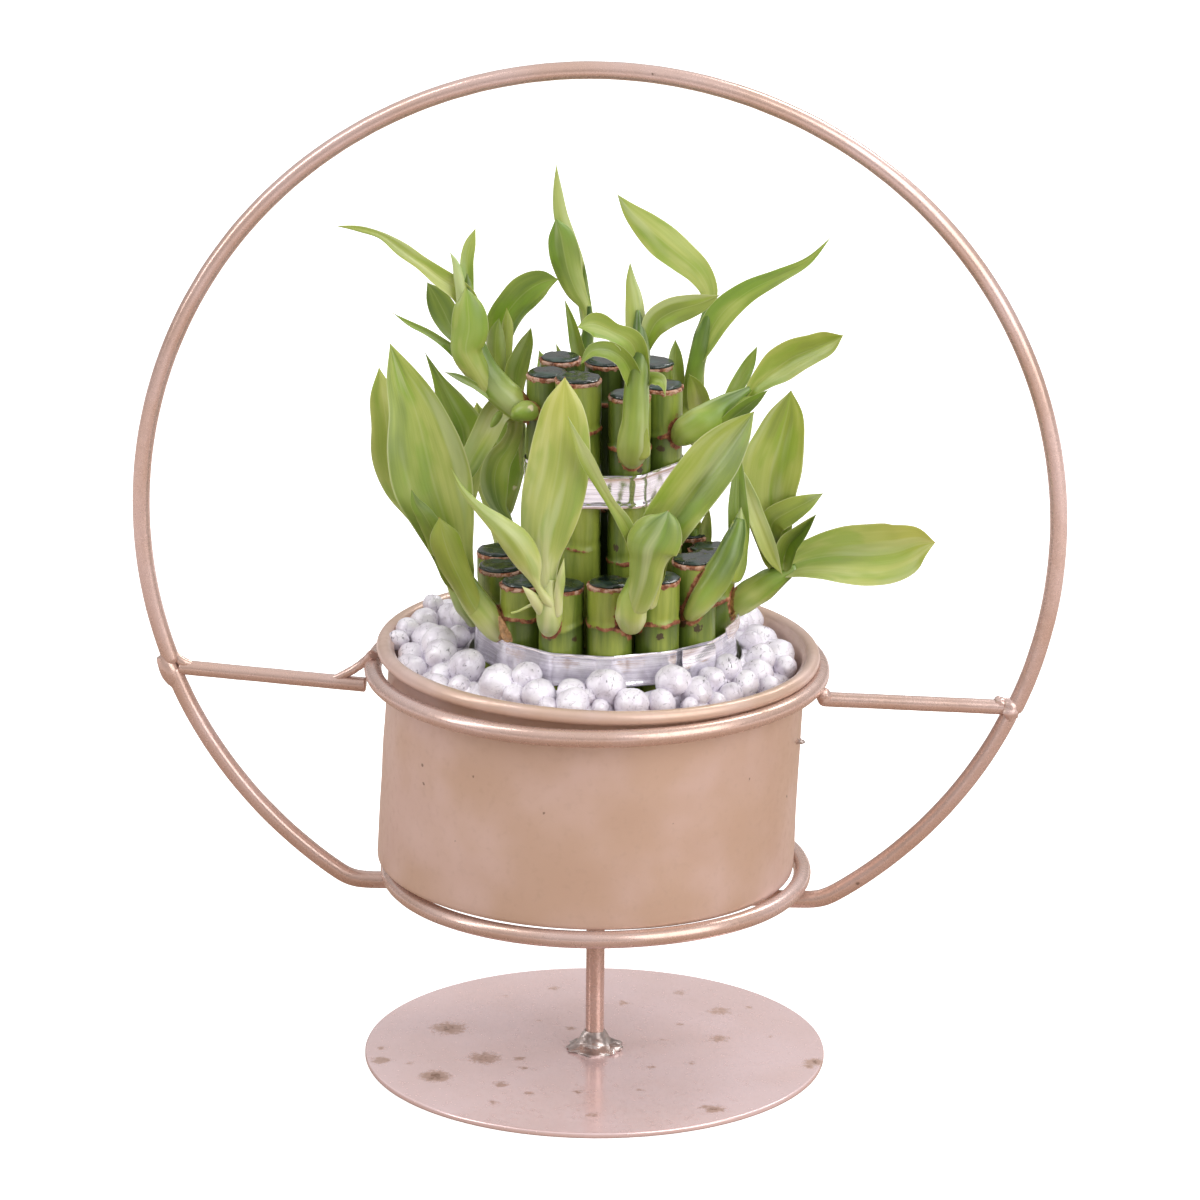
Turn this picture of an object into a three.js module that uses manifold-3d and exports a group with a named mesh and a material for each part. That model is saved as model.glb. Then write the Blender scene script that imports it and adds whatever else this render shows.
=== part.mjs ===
// A lucky bamboo: two tiers of cut canes tied with silver bands, standing in white beads
// in a painted metal pot that hangs in the rings of a hoop-shaped rod stand.
// Millimetres, +Z up, origin at the centre of the underside of the base plate.
// The hoop lies in the XZ plane and the front of the object faces -Y.

import * as THREE from 'three';
import { mergeVertices } from 'three/addons/utils/BufferGeometryUtils.js';
import Module from 'manifold-3d';

const wasm = await Module();
wasm.setup();

// ---------------------------------------------------------------- driving dimensions

const GAP = 0.3; // clearance between touching pieces
const DEG = Math.PI / 180;

const plate = { diameter: 125, thickness: 1.5 };
const rod = { diameter: 4.7, sides: 8 }; // hoop, legs and rings
const armRod = { diameter: 4, sides: 8 };
const stem = { diameter: 5, sides: 10 };
const weld = { radius: 7, height: 5 };

const lowerRing = { radius: 55.8, z: 53.4 };
const upperRing = { radius: 60, z: 110.4 };
const hoop = { radius: 122.4, z: 152, leftEnd: 201, rightEnd: -24.5, steps: 44 };
const legs = {
  steps: 24,
  left: { side: -1, start: 201.4, radius: 123, runZ: 48.4 },
  right: { side: 1, start: -24.9, radius: 122, runZ: 46.4 },
};
const legsMeetZ = 47.4;
const arms = {
  left: { side: -1, hoopZ: 107.9, end: [-61.9, -3, 104.9] },
  right: { side: 1, hoopZ: 102.6, end: [60.4, -5.6, 105.3] },
};

const pot = { radius: 55.7, footRadius: 56.2, wall: 1, floor: 1.2, height: 59.7, bead: 1.75 };
const potPlace = { x: -1.2, z: 56.1, lean: 1.5, skew: 0.028 };
const bed = { inner: 36.4, outer: 52.9, x: -1.3, z: 59.1, edgeZ: 109.6, heapZ: 114.8 };
const pebble = {
  radius: 4.3,
  rows: [{ radius: 41, count: 24, z: 117.2 }, { radius: 48.6, count: 30, z: 113.2 }],
};

const caneFoot = 58.7;
const lowerTier = { count: 14, ring: 29, radius: 6, x: 2.2, firstAngle: 6, node: 132 };
const lowerTops = [143.6, 143.9, 146.5, 144, 142, 143, 141.5, 142.5, 141, 142.5, 141.6, 141.2, 140.4, 142];
const upperTier = { count: 7, ring: 15.5, x: 1.7, firstAngle: 28.5, node: 177 };
const upperTops = [190.6, 190.4, 192.8, 191.6, 194, 193.4, 195];
const upperRadii = [5.7, 5.6, 5.7, 5.9, 5.6, 5.7, 6.2];
const upperNodes = [176.5, 178, 178, 181, 182, 183, 182];

const band = { thickness: 0.6, height: 9, lowerZ: 116.4, upperZ: 161.4 };

// ---------------------------------------------------------------- materials

function paint(color, roughness, metalness) {
  return new THREE.MeshStandardMaterial({ color, roughness, metalness });
}

const standPaint = paint(0xc3a58e, 0.38, 0.55);
const platePaint = paint(0xcdb0a8, 0.3, 0.4);
const weldMetal = paint(0x8f7f76, 0.5, 0.8);
const potPaint = paint(0xc4a48c, 0.4, 0.35);
const beadPaint = paint(0xe3dfe8, 0.4, 0);
const silverFilm = paint(0xd7d5da, 0.12, 1);
const caneSkin = paint(0x8aa63c, 0.45, 0);
const leafSkin = paint(0xa3c24a, 0.5, 0);

// ---------------------------------------------------------------- solids and meshes

const model = new THREE.Group();

function addMesh(name, geometry, material, parent = model) {
  const mesh = new THREE.Mesh(geometry, material);
  mesh.name = name;
  parent.add(mesh);
  return mesh;
}

// A closed solid from a geometry: shared corners merged, empty triangles left out.
function toSolid(geometry) {
  const bare = geometry.clone();
  bare.deleteAttribute('normal');
  bare.deleteAttribute('uv');
  const merged = mergeVertices(bare, 1e-3);
  const index = merged.index.array;
  const triangles = [];
  for (let i = 0; i < index.length; i += 3) {
    const [a, b, c] = [index[i], index[i + 1], index[i + 2]];
    if (a !== b && b !== c && c !== a) triangles.push(a, b, c);
  }
  const vertProperties = new Float32Array(merged.attributes.position.array);
  const triVerts = new Uint32Array(triangles);
  return new wasm.Manifold(new wasm.Mesh({ numProp: 3, vertProperties, triVerts }));
}

// Cutting clearances can leave thin slivers behind, which belong to no piece.
function withoutSlivers(solid) {
  return wasm.Manifold.compose(solid.decompose().filter((body) => body.volume() > 1));
}

function toGeometry(solid) {
  const mesh = solid.getMesh();
  const geometry = new THREE.BufferGeometry();
  geometry.setAttribute('position', new THREE.BufferAttribute(mesh.vertProperties, 3));
  geometry.setIndex(new THREE.BufferAttribute(mesh.triVerts, 1));
  geometry.computeVertexNormals();
  return geometry;
}

// A profile of [radius, z] pairs turned about the Z axis.
function turned(profile, sides) {
  const points = profile.map(([radius, z]) => new THREE.Vector2(radius, z));
  return new THREE.LatheGeometry(points, sides).rotateX(Math.PI / 2);
}

// A round rod of constant diameter along a curve.
function rodAlong(curve, diameter, sides, steps) {
  const corner = (i) => aroundAxis(diameter / 2, (360 * i) / sides);
  const section = new THREE.Shape(Array.from({ length: sides }, (_, i) => new THREE.Vector2(...corner(i))));
  return new THREE.ExtrudeGeometry(section, { steps, extrudePath: curve, bevelEnabled: false });
}

function ringRod({ radius, z }) {
  return new THREE.TorusGeometry(radius, rod.diameter / 2, rod.sides, 40).translate(0, 0, z);
}

function vector([x, y, z]) {
  return new THREE.Vector3(x, y, z);
}

// The plan position at a distance from the axis, with the angle counted from the front to the right.
function aroundAxis(radius, angle, x = 0) {
  return [x + radius * Math.sin(angle * DEG), -radius * Math.cos(angle * DEG)];
}

// ---------------------------------------------------------------- stand

function hoopPoint(radius, angle) {
  return new THREE.Vector3(radius * Math.cos(angle * DEG), 0, hoop.z + radius * Math.sin(angle * DEG));
}

function arcPoints(radius, from, to, count) {
  const points = [];
  for (let i = 0; i <= count; i++) points.push(hoopPoint(radius, from + ((to - from) * i) / count));
  return points;
}

function hoopCurve({ radius, leftEnd, rightEnd }) {
  return new THREE.CatmullRomCurve3(arcPoints(radius, leftEnd, rightEnd, 24));
}

// A leg follows the hoop down, bends level and runs in under the lower ring to the stem.
function legCurve({ side, start, radius, runZ }) {
  const lowest = Math.asin((runZ + 2.4 - hoop.z) / radius) / DEG;
  const end = side > 0 ? lowest : 180 - lowest;
  const points = arcPoints(radius, start, end, 6);
  const bendX = Math.sqrt(radius ** 2 - (runZ - hoop.z) ** 2);
  const run = [[bendX + 0.1, runZ + 0.6], [bendX - 4, runZ], [bendX - 12, runZ], [GAP / 2, legsMeetZ]];
  for (const [x, z] of run) points.push(new THREE.Vector3(side * x, 0, z));
  return new THREE.CatmullRomCurve3(points);
}

function armSolid({ side, hoopZ, end }, hoopTool) {
  const x = side * Math.sqrt(hoop.radius ** 2 - (hoopZ - hoop.z) ** 2);
  const from = new THREE.Vector3(x, 0, hoopZ);
  const bar = rodAlong(new THREE.LineCurve3(from, vector(end)), armRod.diameter, armRod.sides, 1);
  return toGeometry(withoutSlivers(toSolid(bar).subtract(hoopTool)));
}

function buildStand() {
  const plateRadius = plate.diameter / 2;
  const plateProfile = [[0, 0], [plateRadius, 0], [plateRadius, plate.thickness], [0, plate.thickness]];
  addMesh('base_plate', turned(plateProfile, 64), platePaint);

  const stemRadius = stem.diameter / 2;
  const stemFoot = plate.thickness + GAP;
  const stemTop = legsMeetZ - rod.diameter / 2 - GAP;
  addMesh('stem_rod', turned([[0, stemFoot], [stemRadius, stemFoot], [stemRadius, stemTop], [0, stemTop]],
    stem.sides), standPaint);

  const bore = stemRadius + GAP;
  const weldTop = stemFoot + weld.height;
  const fillet = [[bore, stemFoot], [weld.radius, stemFoot], [weld.radius * 0.66, stemFoot + 1.6],
    [bore + 0.9, weldTop], [bore, weldTop], [bore, stemFoot]];
  addMesh('stem_weld', turned(fillet, 16), weldMetal);

  addMesh('lower_ring', ringRod(lowerRing), standPaint);
  addMesh('upper_ring', ringRod(upperRing), standPaint);

  addMesh('hoop_arc', rodAlong(hoopCurve(hoop), rod.diameter, rod.sides, hoop.steps), standPaint);
  addMesh('left_leg', rodAlong(legCurve(legs.left), rod.diameter, rod.sides, legs.steps), standPaint);
  addMesh('right_leg', rodAlong(legCurve(legs.right), rod.diameter, rod.sides, legs.steps), standPaint);

  // The arms are cut to a rod a little thicker than the real one and slightly longer at its ends.
  const wide = rod.diameter + 2.2 * GAP;
  const extra = 0.15; // degrees of arc
  const longer = { ...hoop, leftEnd: hoop.leftEnd + extra, rightEnd: hoop.rightEnd - extra };
  const hoopTool = [
    rodAlong(hoopCurve(longer), wide, rod.sides, hoop.steps),
    rodAlong(legCurve({ ...legs.left, start: legs.left.start - extra }), wide, rod.sides, legs.steps),
    rodAlong(legCurve({ ...legs.right, start: legs.right.start + extra }), wide, rod.sides, legs.steps),
  ].map(toSolid).reduce((all, cutter) => all.add(cutter));
  addMesh('left_arm', armSolid(arms.left, hoopTool), standPaint);
  addMesh('right_arm', armSolid(arms.right, hoopTool), standPaint);
}

// ---------------------------------------------------------------- pot and beads

function potProfile() {
  const { radius, footRadius, wall, floor, height, bead } = pot;
  const beadRadius = radius + bead - 0.1;
  const profile = [[0, 0], [footRadius - 1, 0], [footRadius, 1], [radius, height - bead + 0.4]];
  for (let angle = -120; angle <= 120; angle += 60) {
    profile.push([beadRadius + bead * Math.cos(angle * DEG), height + bead * Math.sin(angle * DEG)]);
  }
  profile.push([radius - wall, height + 0.4], [footRadius - wall, floor], [0, floor]);
  return profile;
}

// One solid for all the beads: a ring, heaped towards the canes, with rows of round heads on top.
function bedSolid() {
  const slope = [[bed.outer, bed.z], [bed.outer, bed.edgeZ], [bed.inner + 2, bed.heapZ]];
  const disc = turned([[0, bed.z], ...slope, [0, bed.heapZ]], 36);
  const over = bed.heapZ + 12;
  const hole = turned([[0, bed.z - 1], [bed.inner, bed.z - 1], [bed.inner, over], [0, over]], 36);
  let solid = toSolid(disc.translate(bed.x, 0, 0));
  for (const row of pebble.rows) {
    for (let i = 0; i < row.count; i++) {
      const [x, y] = aroundAxis(row.radius, (360 * i) / row.count);
      const ball = new THREE.SphereGeometry(pebble.radius, 6, 3).rotateX(Math.PI / 2).translate(x, y, row.z);
      solid = solid.add(toSolid(ball));
    }
  }
  return solid.subtract(toSolid(hole.translate(lowerTier.x, 0, 0)));
}

// The pot stands a little crooked: its rim leans and its wall is skewed towards the left foot.
function buildPot() {
  const group = new THREE.Group();
  group.position.set(potPlace.x, 0, potPlace.z);
  group.rotation.y = potPlace.lean * DEG;
  model.add(group);
  const skewed = turned(potProfile(), 48).translate(0, 0, -pot.height)
    .applyMatrix4(new THREE.Matrix4().makeShear(0, 0, 0, 0, potPlace.skew, 0))
    .translate(0, 0, pot.height);
  addMesh('pot', skewed, potPaint, group);
  addMesh('bead_bed', toGeometry(bedSolid()), beadPaint);
}

// ---------------------------------------------------------------- canes and bands

// A cut cane: a round stalk with a raised node and a domed wax seal on top.
function caneGeometry(radius, node, top) {
  const profile = [[0, caneFoot], [radius, caneFoot], [radius, node - 1.2], [radius + 0.3, node],
    [radius, node + 1.2], [radius, top - 1.6], [radius - 0.9, top - 0.4], [0, top]];
  return turned(profile, 10);
}

function caneRing({ count, ring, firstAngle, x = 0 }) {
  const places = [];
  for (let i = 0; i < count; i++) places.push(aroundAxis(ring, firstAngle + (360 * i) / count, x));
  return places;
}

const lowerPlaces = caneRing(lowerTier);
const upperPlaces = caneRing(upperTier);

const twoDigits = (number) => String(number).padStart(2, '0');

function buildCanes() {
  lowerPlaces.forEach(([x, y], i) => {
    const geometry = caneGeometry(lowerTier.radius, lowerTier.node, lowerTops[i]).translate(x, y, 0);
    addMesh(`lower_cane_${twoDigits(i + 1)}`, geometry, caneSkin);
  });
  upperPlaces.forEach(([x, y], i) => {
    const geometry = caneGeometry(upperRadii[i], upperNodes[i], upperTops[i]).translate(x, y, 0);
    addMesh(`upper_cane_${twoDigits(i + 1)}`, geometry, caneSkin);
  });
}

// The taut outline of a ribbon round some canes: at each angle the farthest reach of any cane.
function bandOutline(places, radii, offset) {
  const corners = [];
  const steps = 48;
  for (let i = 0; i < steps; i++) {
    const angle = (2 * Math.PI * i) / steps;
    const [ux, uy] = [Math.cos(angle), Math.sin(angle)];
    const reach = places.map(([x, y], k) => x * ux + y * uy + radii[k]);
    const k = reach.indexOf(Math.max(...reach));
    const [x, y] = places[k];
    corners.push(new THREE.Vector2(x + (radii[k] + offset) * ux, y + (radii[k] + offset) * uy));
  }
  return corners;
}

function bandGeometry(places, radii, z) {
  const shape = new THREE.Shape(bandOutline(places, radii, GAP + band.thickness));
  shape.holes.push(new THREE.Path(bandOutline(places, radii, GAP)));
  return new THREE.ExtrudeGeometry(shape, { depth: band.height, bevelEnabled: false }).translate(0, 0, z);
}

function buildBands() {
  const lowerRadii = lowerPlaces.map(() => lowerTier.radius);
  addMesh('lower_band', bandGeometry(lowerPlaces, lowerRadii, band.lowerZ), silverFilm);
  addMesh('upper_band', bandGeometry(upperPlaces, upperRadii, band.upperZ), silverFilm);
}

// ---------------------------------------------------------------- shoots

// Each shoot has its stalks and its leaves. A stalk is [from, middle, to, width at the foot,
// width at the top]. A leaf is [foot, middle, tip, width, turn], where turn is the angle in
// degrees by which the blade is turned about its own length from facing the front.
const shoots = {
  shoot_front_left: {
    stalks: [[[-10, -35, 134], [-10, -38, 139.5], [-9.5, -38.5, 145.5], 9, 6.5]],
    leaves: [
      [[-11, -38, 144], [-20, -44, 161], [-35, -46, 178], 7.2, 0],
      [[-10, -38, 145], [-7, -42, 175], [-6, -40, 202], 17.1, 0],
      [[-12, -38, 140], [-14, -41, 143], [-16, -43, 147], 4, 0],
      [[-8, -38, 140], [-7, -40, 146], [-5, -41, 153], 4, 0],
    ],
  },
  shoot_front_right: {
    stalks: [[[11.5, -33.5, 135], [12, -36.5, 141], [14, -38, 149.5], 9.5, 8]],
    leaves: [
      [[14, -38, 147], [6, -45, 173], [-5, -48, 193], 5.3, 15],
      [[15, -38, 146], [29, -41, 174], [43, -38, 194], 15, 0],
      [[13, -39, 145], [17, -43, 155], [21, -44, 168], 15.5, 0],
      [[16, -37, 141], [18, -39, 145], [20, -40, 151], 4.5, 0],
    ],
  },
  shoot_left: {
    stalks: [[[-27, -21, 130.5], [-31.5, -19, 135.5], [-37, -17, 143], 8, 7]],
    leaves: [
      [[-36, -17, 140], [-43, -18, 174], [-54, -14, 203], 21.3, 0],
      [[-38, -19, 143], [-44, -23, 157], [-48, -25, 166], 6.4, 0],
      [[-32, -21, 134], [-37, -25, 148], [-40, -28, 160], 9.1, 0],
    ],
  },
  shoot_left_back: {
    stalks: [[[-33.5, 8, 131], [-37, 6, 134], [-40, 3, 140], 8, 6]],
    leaves: [
      [[-40, 2, 137], [-55, -1, 165], [-59, 3, 192], 10.7, 0],
      [[-40, 4, 137], [-38, 8, 176], [-47, 12, 194], 9.1, 0],
    ],
  },
  shoot_right: {
    stalks: [[[27, -22, 134], [34.5, -20, 143.5], [38, -17, 156], 9, 7.5]],
    leaves: [
      [[38, -17, 154], [37, -14, 165], [37, -11, 178], 6.9, 0],
      [[37, -19, 148], [38, -19, 154], [37, -18, 158], 3.5, 0],
    ],
  },
  shoot_right_outer: {
    stalks: [[[34, -3, 130.5], [42.5, -4, 134], [49, -5, 140], 7, 6]],
    leaves: [
      [[48, -6, 140], [47, -8, 169], [51, -4, 190], 16, 0],
      [[48, -5, 141], [50, -3, 154], [60, 0, 161], 6.9, 0],
      [[49, -6, 141], [54, -12, 150], [59, -16, 160], 5.9, 0],
      [[48, -5, 140], [69, -10, 147], [90, -14, 152], 16, 0],
    ],
  },
  shoot_right_back: {
    stalks: [[[31, 15, 131], [32, 17, 136], [31, 17, 144], 7, 5]],
    leaves: [
      [[31, 17, 140], [27, 17, 150], [28, 16, 160], 6, 0],
      [[31, 17, 140], [34, 18, 147], [33, 14, 156], 5, 0],
    ],
  },
  shoot_upper_left: {
    stalks: [
      [[-19.5, -4, 182], [-23, -5, 184.5], [-26.5, -5, 187.5], 8, 7.5],
      [[-26.5, -5, 187.5], [-31.5, -4, 200.5], [-35, -3, 213.5], 9.5, 4],
    ],
    leaves: [
      [[-34, -3, 212], [-49, -5, 224], [-69, -9, 233], 6.4, 0],
      [[-34, -3, 200], [-42, 4, 204], [-46, 8, 214], 6.9, 0],
      [[-33, -5, 196], [-44, -5, 204], [-54, -5, 209], 3.2, 0],
      [[-28, -7, 188], [-33, -9, 202], [-35, -9, 215], 8.5, 0],
      [[-34, -3, 210], [-36, -3, 219], [-39, -4, 226], 2.7, 0],
      [[-35, -1, 210], [-35, 2, 221], [-33, 4, 230], 4.3, 0],
      [[-27, -7, 188], [-34, -10, 191], [-40, -12, 195], 3.2, 0],
    ],
  },
  shoot_upper_left_back: {
    stalks: [[[-15, 11.5, 178.5], [-23, 13.5, 181], [-26.5, 14, 190], 7, 6]],
    leaves: [
      [[-27, 14, 188], [-22, 15, 210], [-12, 14, 214], 8.8, 20],
      [[-26, 13, 187], [-27, 10, 197], [-26, 9, 207], 5.9, 0],
      [[-24, 13, 181], [-22, 8, 193], [-18, 4, 204], 7.2, 0],
    ],
  },
  shoot_upper_left_low: {
    stalks: [[[-17, 3, 180.5], [-22.5, 3, 180.5], [-26.5, 1, 179.5], 6, 5]],
    leaves: [
      [[-25, 1, 181], [-29, -3, 173], [-36, -6, 162], 8, 0],
      [[-24, 2, 180], [-27, 3, 164], [-23, 1, 149], 7.5, 0],
    ],
  },
  shoot_upper_right: {
    stalks: [[[22.5, -8, 177.5], [27.5, -8, 181], [35.5, -6, 188], 7.5, 5]],
    leaves: [
      [[35, -6, 187], [51, -6, 196], [65, -8, 206], 9.1, 0],
      [[33, -5, 186], [39, -1, 192], [42, 1, 200], 3.2, 0],
      [[32, -8, 183], [40, -12, 188], [45, -13, 192], 3.7, 0],
    ],
  },
  shoot_upper_right_back: {
    stalks: [
      [[20, 11, 176], [23.5, 12, 178], [24.5, 12, 190], 7, 5.5],
      [[24.5, 12, 190], [27, 12, 200], [28, 12, 210], 5.5, 3],
    ],
    leaves: [
      [[25, 12, 190], [36, 11, 210], [60, 12, 228], 8.8, 0],
      [[28, 13, 208], [20, 15, 222], [3, 20, 236], 10.1, 0],
      [[26, 11, 179], [27, 7, 185], [24, 4, 191], 5.3, 0],
      [[24, 13, 182], [20, 14, 190], [19, 15, 198], 3.7, 0],
    ],
  },
  shoot_upper_front: {
    stalks: [[[10, -20, 176], [11, -22.5, 183.5], [12.5, -21.5, 207.5], 9, 5.5]],
    leaves: [
      [[13, -22, 204], [19, -23, 215], [33, -27, 221], 7.5, 0],
      [[12, -21, 205], [11, -20, 218], [9, -19, 228], 5.1, 0],
      [[12, -22, 205], [4, -27, 214], [-4, -31, 213], 6.7, 0],
      [[11, -23, 201], [4, -29, 208], [-2, -32, 204], 4.3, 0],
      [[13, -22, 198], [17, -26, 201], [19, -28, 195], 3.7, 0],
    ],
  },
  shoot_upper_back: {
    stalks: [[[-2.5, 20.5, 178.5], [-5.5, 23.5, 185], [-4.5, 23, 201], 6, 4]],
    leaves: [
      [[-4, 23, 199], [-10, 23, 215], [-13, 22, 229], 8.3, 0],
      [[-5, 24, 200], [-10, 28, 222], [-14, 30, 241], 4.8, 0],
      [[-5, 24, 199], [-5, 26, 208], [-6, 27, 216], 2.1, 0],
      [[-6, 23, 188], [-8, 19, 198], [-11, 17, 208], 4, 0],
    ],
  },
  shoot_back: {
    stalks: [[[-4, 34, 132], [-5.4, 38, 138], [-5, 41, 148], 9, 7]],
    leaves: [
      [[-5, 40, 145], [-12, 46, 165], [-20, 52, 184], 15, 180],
      [[-5, 40, 145], [4, 46, 162], [14, 50, 178], 13, 180],
    ],
  },
  shoot_back_left: {
    stalks: [[[-22, 25, 131], [-26.5, 28.5, 137], [-28.5, 31, 146], 8, 6]],
    leaves: [
      [[-29, 31, 143], [-33, 36, 158], [-36, 41, 172], 12, 180],
      [[-29, 31, 143], [-26, 37, 160], [-28, 40, 178], 9, 180],
    ],
  },
};

const frontFacing = new THREE.Vector3(0, -1, 0.35).normalize();
const leafThickness = 0.9;

function curveThrough(from, middle, to) {
  const [a, m, b] = [vector(from), vector(middle), vector(to)];
  const control = m.clone().multiplyScalar(2).sub(a.clone().add(b).multiplyScalar(0.5));
  return new THREE.QuadraticBezierCurve3(a, control, b);
}

// A closed form swept along a curve. Its section has the given half breadth and half depth
// at each place along the curve, with the depth turned towards the front.
function swept(curve, sides, steps, turn, halfBreadth, halfDepth) {
  const form = new THREE.CylinderGeometry(1, 1, 1, sides, steps);
  const position = form.attributes.position;
  for (let i = 0; i < position.count; i++) {
    const along = position.getY(i) + 0.5;
    const tangent = curve.getTangent(along);
    const across = tangent.clone().cross(frontFacing).normalize().applyAxisAngle(tangent, turn * DEG);
    const outward = across.clone().cross(tangent);
    const point = curve.getPoint(along)
      .addScaledVector(across, position.getX(i) * halfBreadth(along))
      .addScaledVector(outward, position.getZ(i) * halfDepth(along));
    position.setXYZ(i, point.x, point.y, point.z);
  }
  return toSolid(form);
}

function stalkSolid([from, middle, to, footWidth, topWidth]) {
  const half = (along) => (footWidth + (topWidth - footWidth) * along) / 2;
  return swept(curveThrough(from, middle, to), 8, 3, 0, half, half);
}

// A blade swells from its foot to its full width near the middle and runs out to a point.
function leafSolid([foot, middle, tip, width, turn]) {
  const half = (along) => 0.25 + (width / 2 - 0.25) * Math.sin(Math.PI * (0.14 + 0.86 * along) ** 0.9) ** 0.8;
  const depth = (along) => (leafThickness / 2) * (1 - 0.6 * along);
  return swept(curveThrough(foot, middle, tip), 4, 6, turn, (along) => Math.max(half(along), 0.25), depth);
}

function caneTools() {
  const upright = (radius, top, [x, y]) => {
    const round = new THREE.CylinderGeometry(radius, radius, top - caneFoot + 1, 12);
    return toSolid(round.rotateX(Math.PI / 2).translate(x, y, (top + caneFoot + 1) / 2));
  };
  const grown = GAP + 0.35;
  const lower = lowerPlaces.map((place, i) => upright(lowerTier.radius + grown, lowerTops[i], place));
  const upper = upperPlaces.map((place, i) => upright(upperRadii[i] + grown, upperTops[i], place));
  return [...lower, ...upper].reduce((all, cane) => all.add(cane));
}

function buildShoots() {
  const canes = caneTools();
  for (const [name, { stalks, leaves }] of Object.entries(shoots)) {
    const forms = [...stalks.map(stalkSolid), ...leaves.map(leafSolid)];
    const whole = forms.reduce((all, form) => all.add(form));
    addMesh(name, toGeometry(withoutSlivers(whole.subtract(canes))), leafSkin);
  }
}

buildStand();
buildPot();
buildCanes();
buildBands();
buildShoots();

export default model;
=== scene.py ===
"""Looks of a lucky bamboo in a hanging pot on a hoop stand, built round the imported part.

Shapes are worked out in millimetres on numpy grids and put into the meshes in metres.
+Z is up, the front faces -Y, and the origin is the centre of the base plate's underside.
"""

import logging
import math
from collections.abc import Sequence
from dataclasses import dataclass, field
from enum import Enum
from typing import Any

import bpy
import numpy as np
from mathutils import Matrix


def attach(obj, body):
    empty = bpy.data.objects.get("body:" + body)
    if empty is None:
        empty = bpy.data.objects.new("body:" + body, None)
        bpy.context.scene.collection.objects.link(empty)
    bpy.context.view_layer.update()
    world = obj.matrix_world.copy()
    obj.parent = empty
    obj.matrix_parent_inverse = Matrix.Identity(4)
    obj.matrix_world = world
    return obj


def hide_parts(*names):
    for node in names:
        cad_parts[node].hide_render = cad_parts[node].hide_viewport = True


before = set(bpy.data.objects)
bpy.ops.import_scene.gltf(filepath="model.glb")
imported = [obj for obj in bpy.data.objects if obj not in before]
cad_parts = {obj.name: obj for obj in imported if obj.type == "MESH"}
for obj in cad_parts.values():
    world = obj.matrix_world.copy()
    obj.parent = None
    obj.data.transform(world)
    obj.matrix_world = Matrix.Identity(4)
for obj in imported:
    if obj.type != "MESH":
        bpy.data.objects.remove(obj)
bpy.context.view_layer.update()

MM = 0.001
TURN = 2 * math.pi
GOLDEN_ANGLE = 2.39996
FRONT = np.array([0.0, -0.954, 0.3])  # from the plant towards the viewer
BACKWARDS = np.array([0.02, 1, 0.02])  # a direction that no rod of the stand takes
Array = np.ndarray
Row = tuple[float, ...]
Stops = tuple[tuple[float, str], ...]  # a colour ramp: places from 0 to 1 and hex colours
Socket = bpy.types.NodeSocket
Material = bpy.types.Material
Node = bpy.types.Node
log = logging.getLogger("lucky_bamboo")


# ---------- skins and their surfaces


@dataclass
class Skin:
    """A closed skin: corners in millimetres, faces, and marks written on the corners.

    A mark has one number or one vector for each corner. zone is each quad's finish.
    """

    points: Array
    quads: Array
    tris: Array
    marks: dict[str, Array] = field(default_factory=dict)
    zone: Array | None = None
    tri_zone: Array | None = None

    def volume(self) -> float:
        """Signed volume: a sixth of the sum of a . (b x c) over all triangles a, b, c."""
        q = self.quads
        three = np.vstack([q[:, [0, 1, 2]], q[:, [0, 2, 3]], self.tris])
        a, b, c = (self.points[three[:, k]] for k in range(3))
        return float(np.einsum("ij,ij->i", a, np.cross(b, c)).sum() / 6)

    def outward(self) -> "Skin":
        """The same skin with its faces turned round where its signed volume is negative."""
        if self.volume() < 0:
            self.quads, self.tris = self.quads[:, ::-1], self.tris[:, ::-1]
        return self

    def painted(self, zone: int) -> "Skin":
        """The same skin with one finish all over."""
        self.zone, self.tri_zone = np.full(len(self.quads), zone), np.full(len(self.tris), zone)
        return self


def joined(skins: Sequence[Skin]) -> Skin:
    """One skin out of several, each turned outwards first. A mark that one lacks is zero there."""
    skins = [skin.outward() for skin in skins]
    starts = np.cumsum([0] + [len(skin.points) for skin in skins])
    names = {name: mark.shape[1:] for skin in skins for name, mark in skin.marks.items()}
    marks = {
        name: np.concatenate([s.marks.get(name, np.zeros((len(s.points), *shape))) for s in skins])
        for name, shape in names.items()
    }
    skins = [skin if skin.zone is not None else skin.painted(0) for skin in skins]
    return Skin(
        np.vstack([skin.points for skin in skins]),
        np.vstack([skin.quads + start for skin, start in zip(skins, starts)]),
        np.vstack([skin.tris + start for skin, start in zip(skins, starts)]),
        marks,
        np.concatenate([skin.zone for skin in skins]),
        np.concatenate([skin.tri_zone for skin in skins]),
    )


def round_angles(count: int) -> Array:
    """Equal steps round a circle, in radians."""
    return np.linspace(0, TURN, count, endpoint=False)


def lengths(path: Array) -> Array:
    """The length of a path so far, at each of its places."""
    return np.concatenate([[0], np.cumsum(np.linalg.norm(np.diff(path, axis=0), axis=1))])


def stacked(*parts: Any) -> Array:
    """Coordinates of any matching shapes, put together as vectors."""
    return np.stack(np.broadcast_arrays(*parts), -1)


def grid_quads(rows: int, cols: int, loop_rows: bool) -> Array:
    """Quads of a grid that is closed along its columns, and along its rows too where asked."""
    i = np.arange(rows if loop_rows else rows - 1)[:, None]
    j = np.arange(cols)[None, :]
    a, b = (i % rows) * cols, ((i + 1) % rows) * cols
    k, n = j % cols, (j + 1) % cols
    return np.stack([a + k, a + n, b + n, b + k], -1).reshape(-1, 4)


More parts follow.
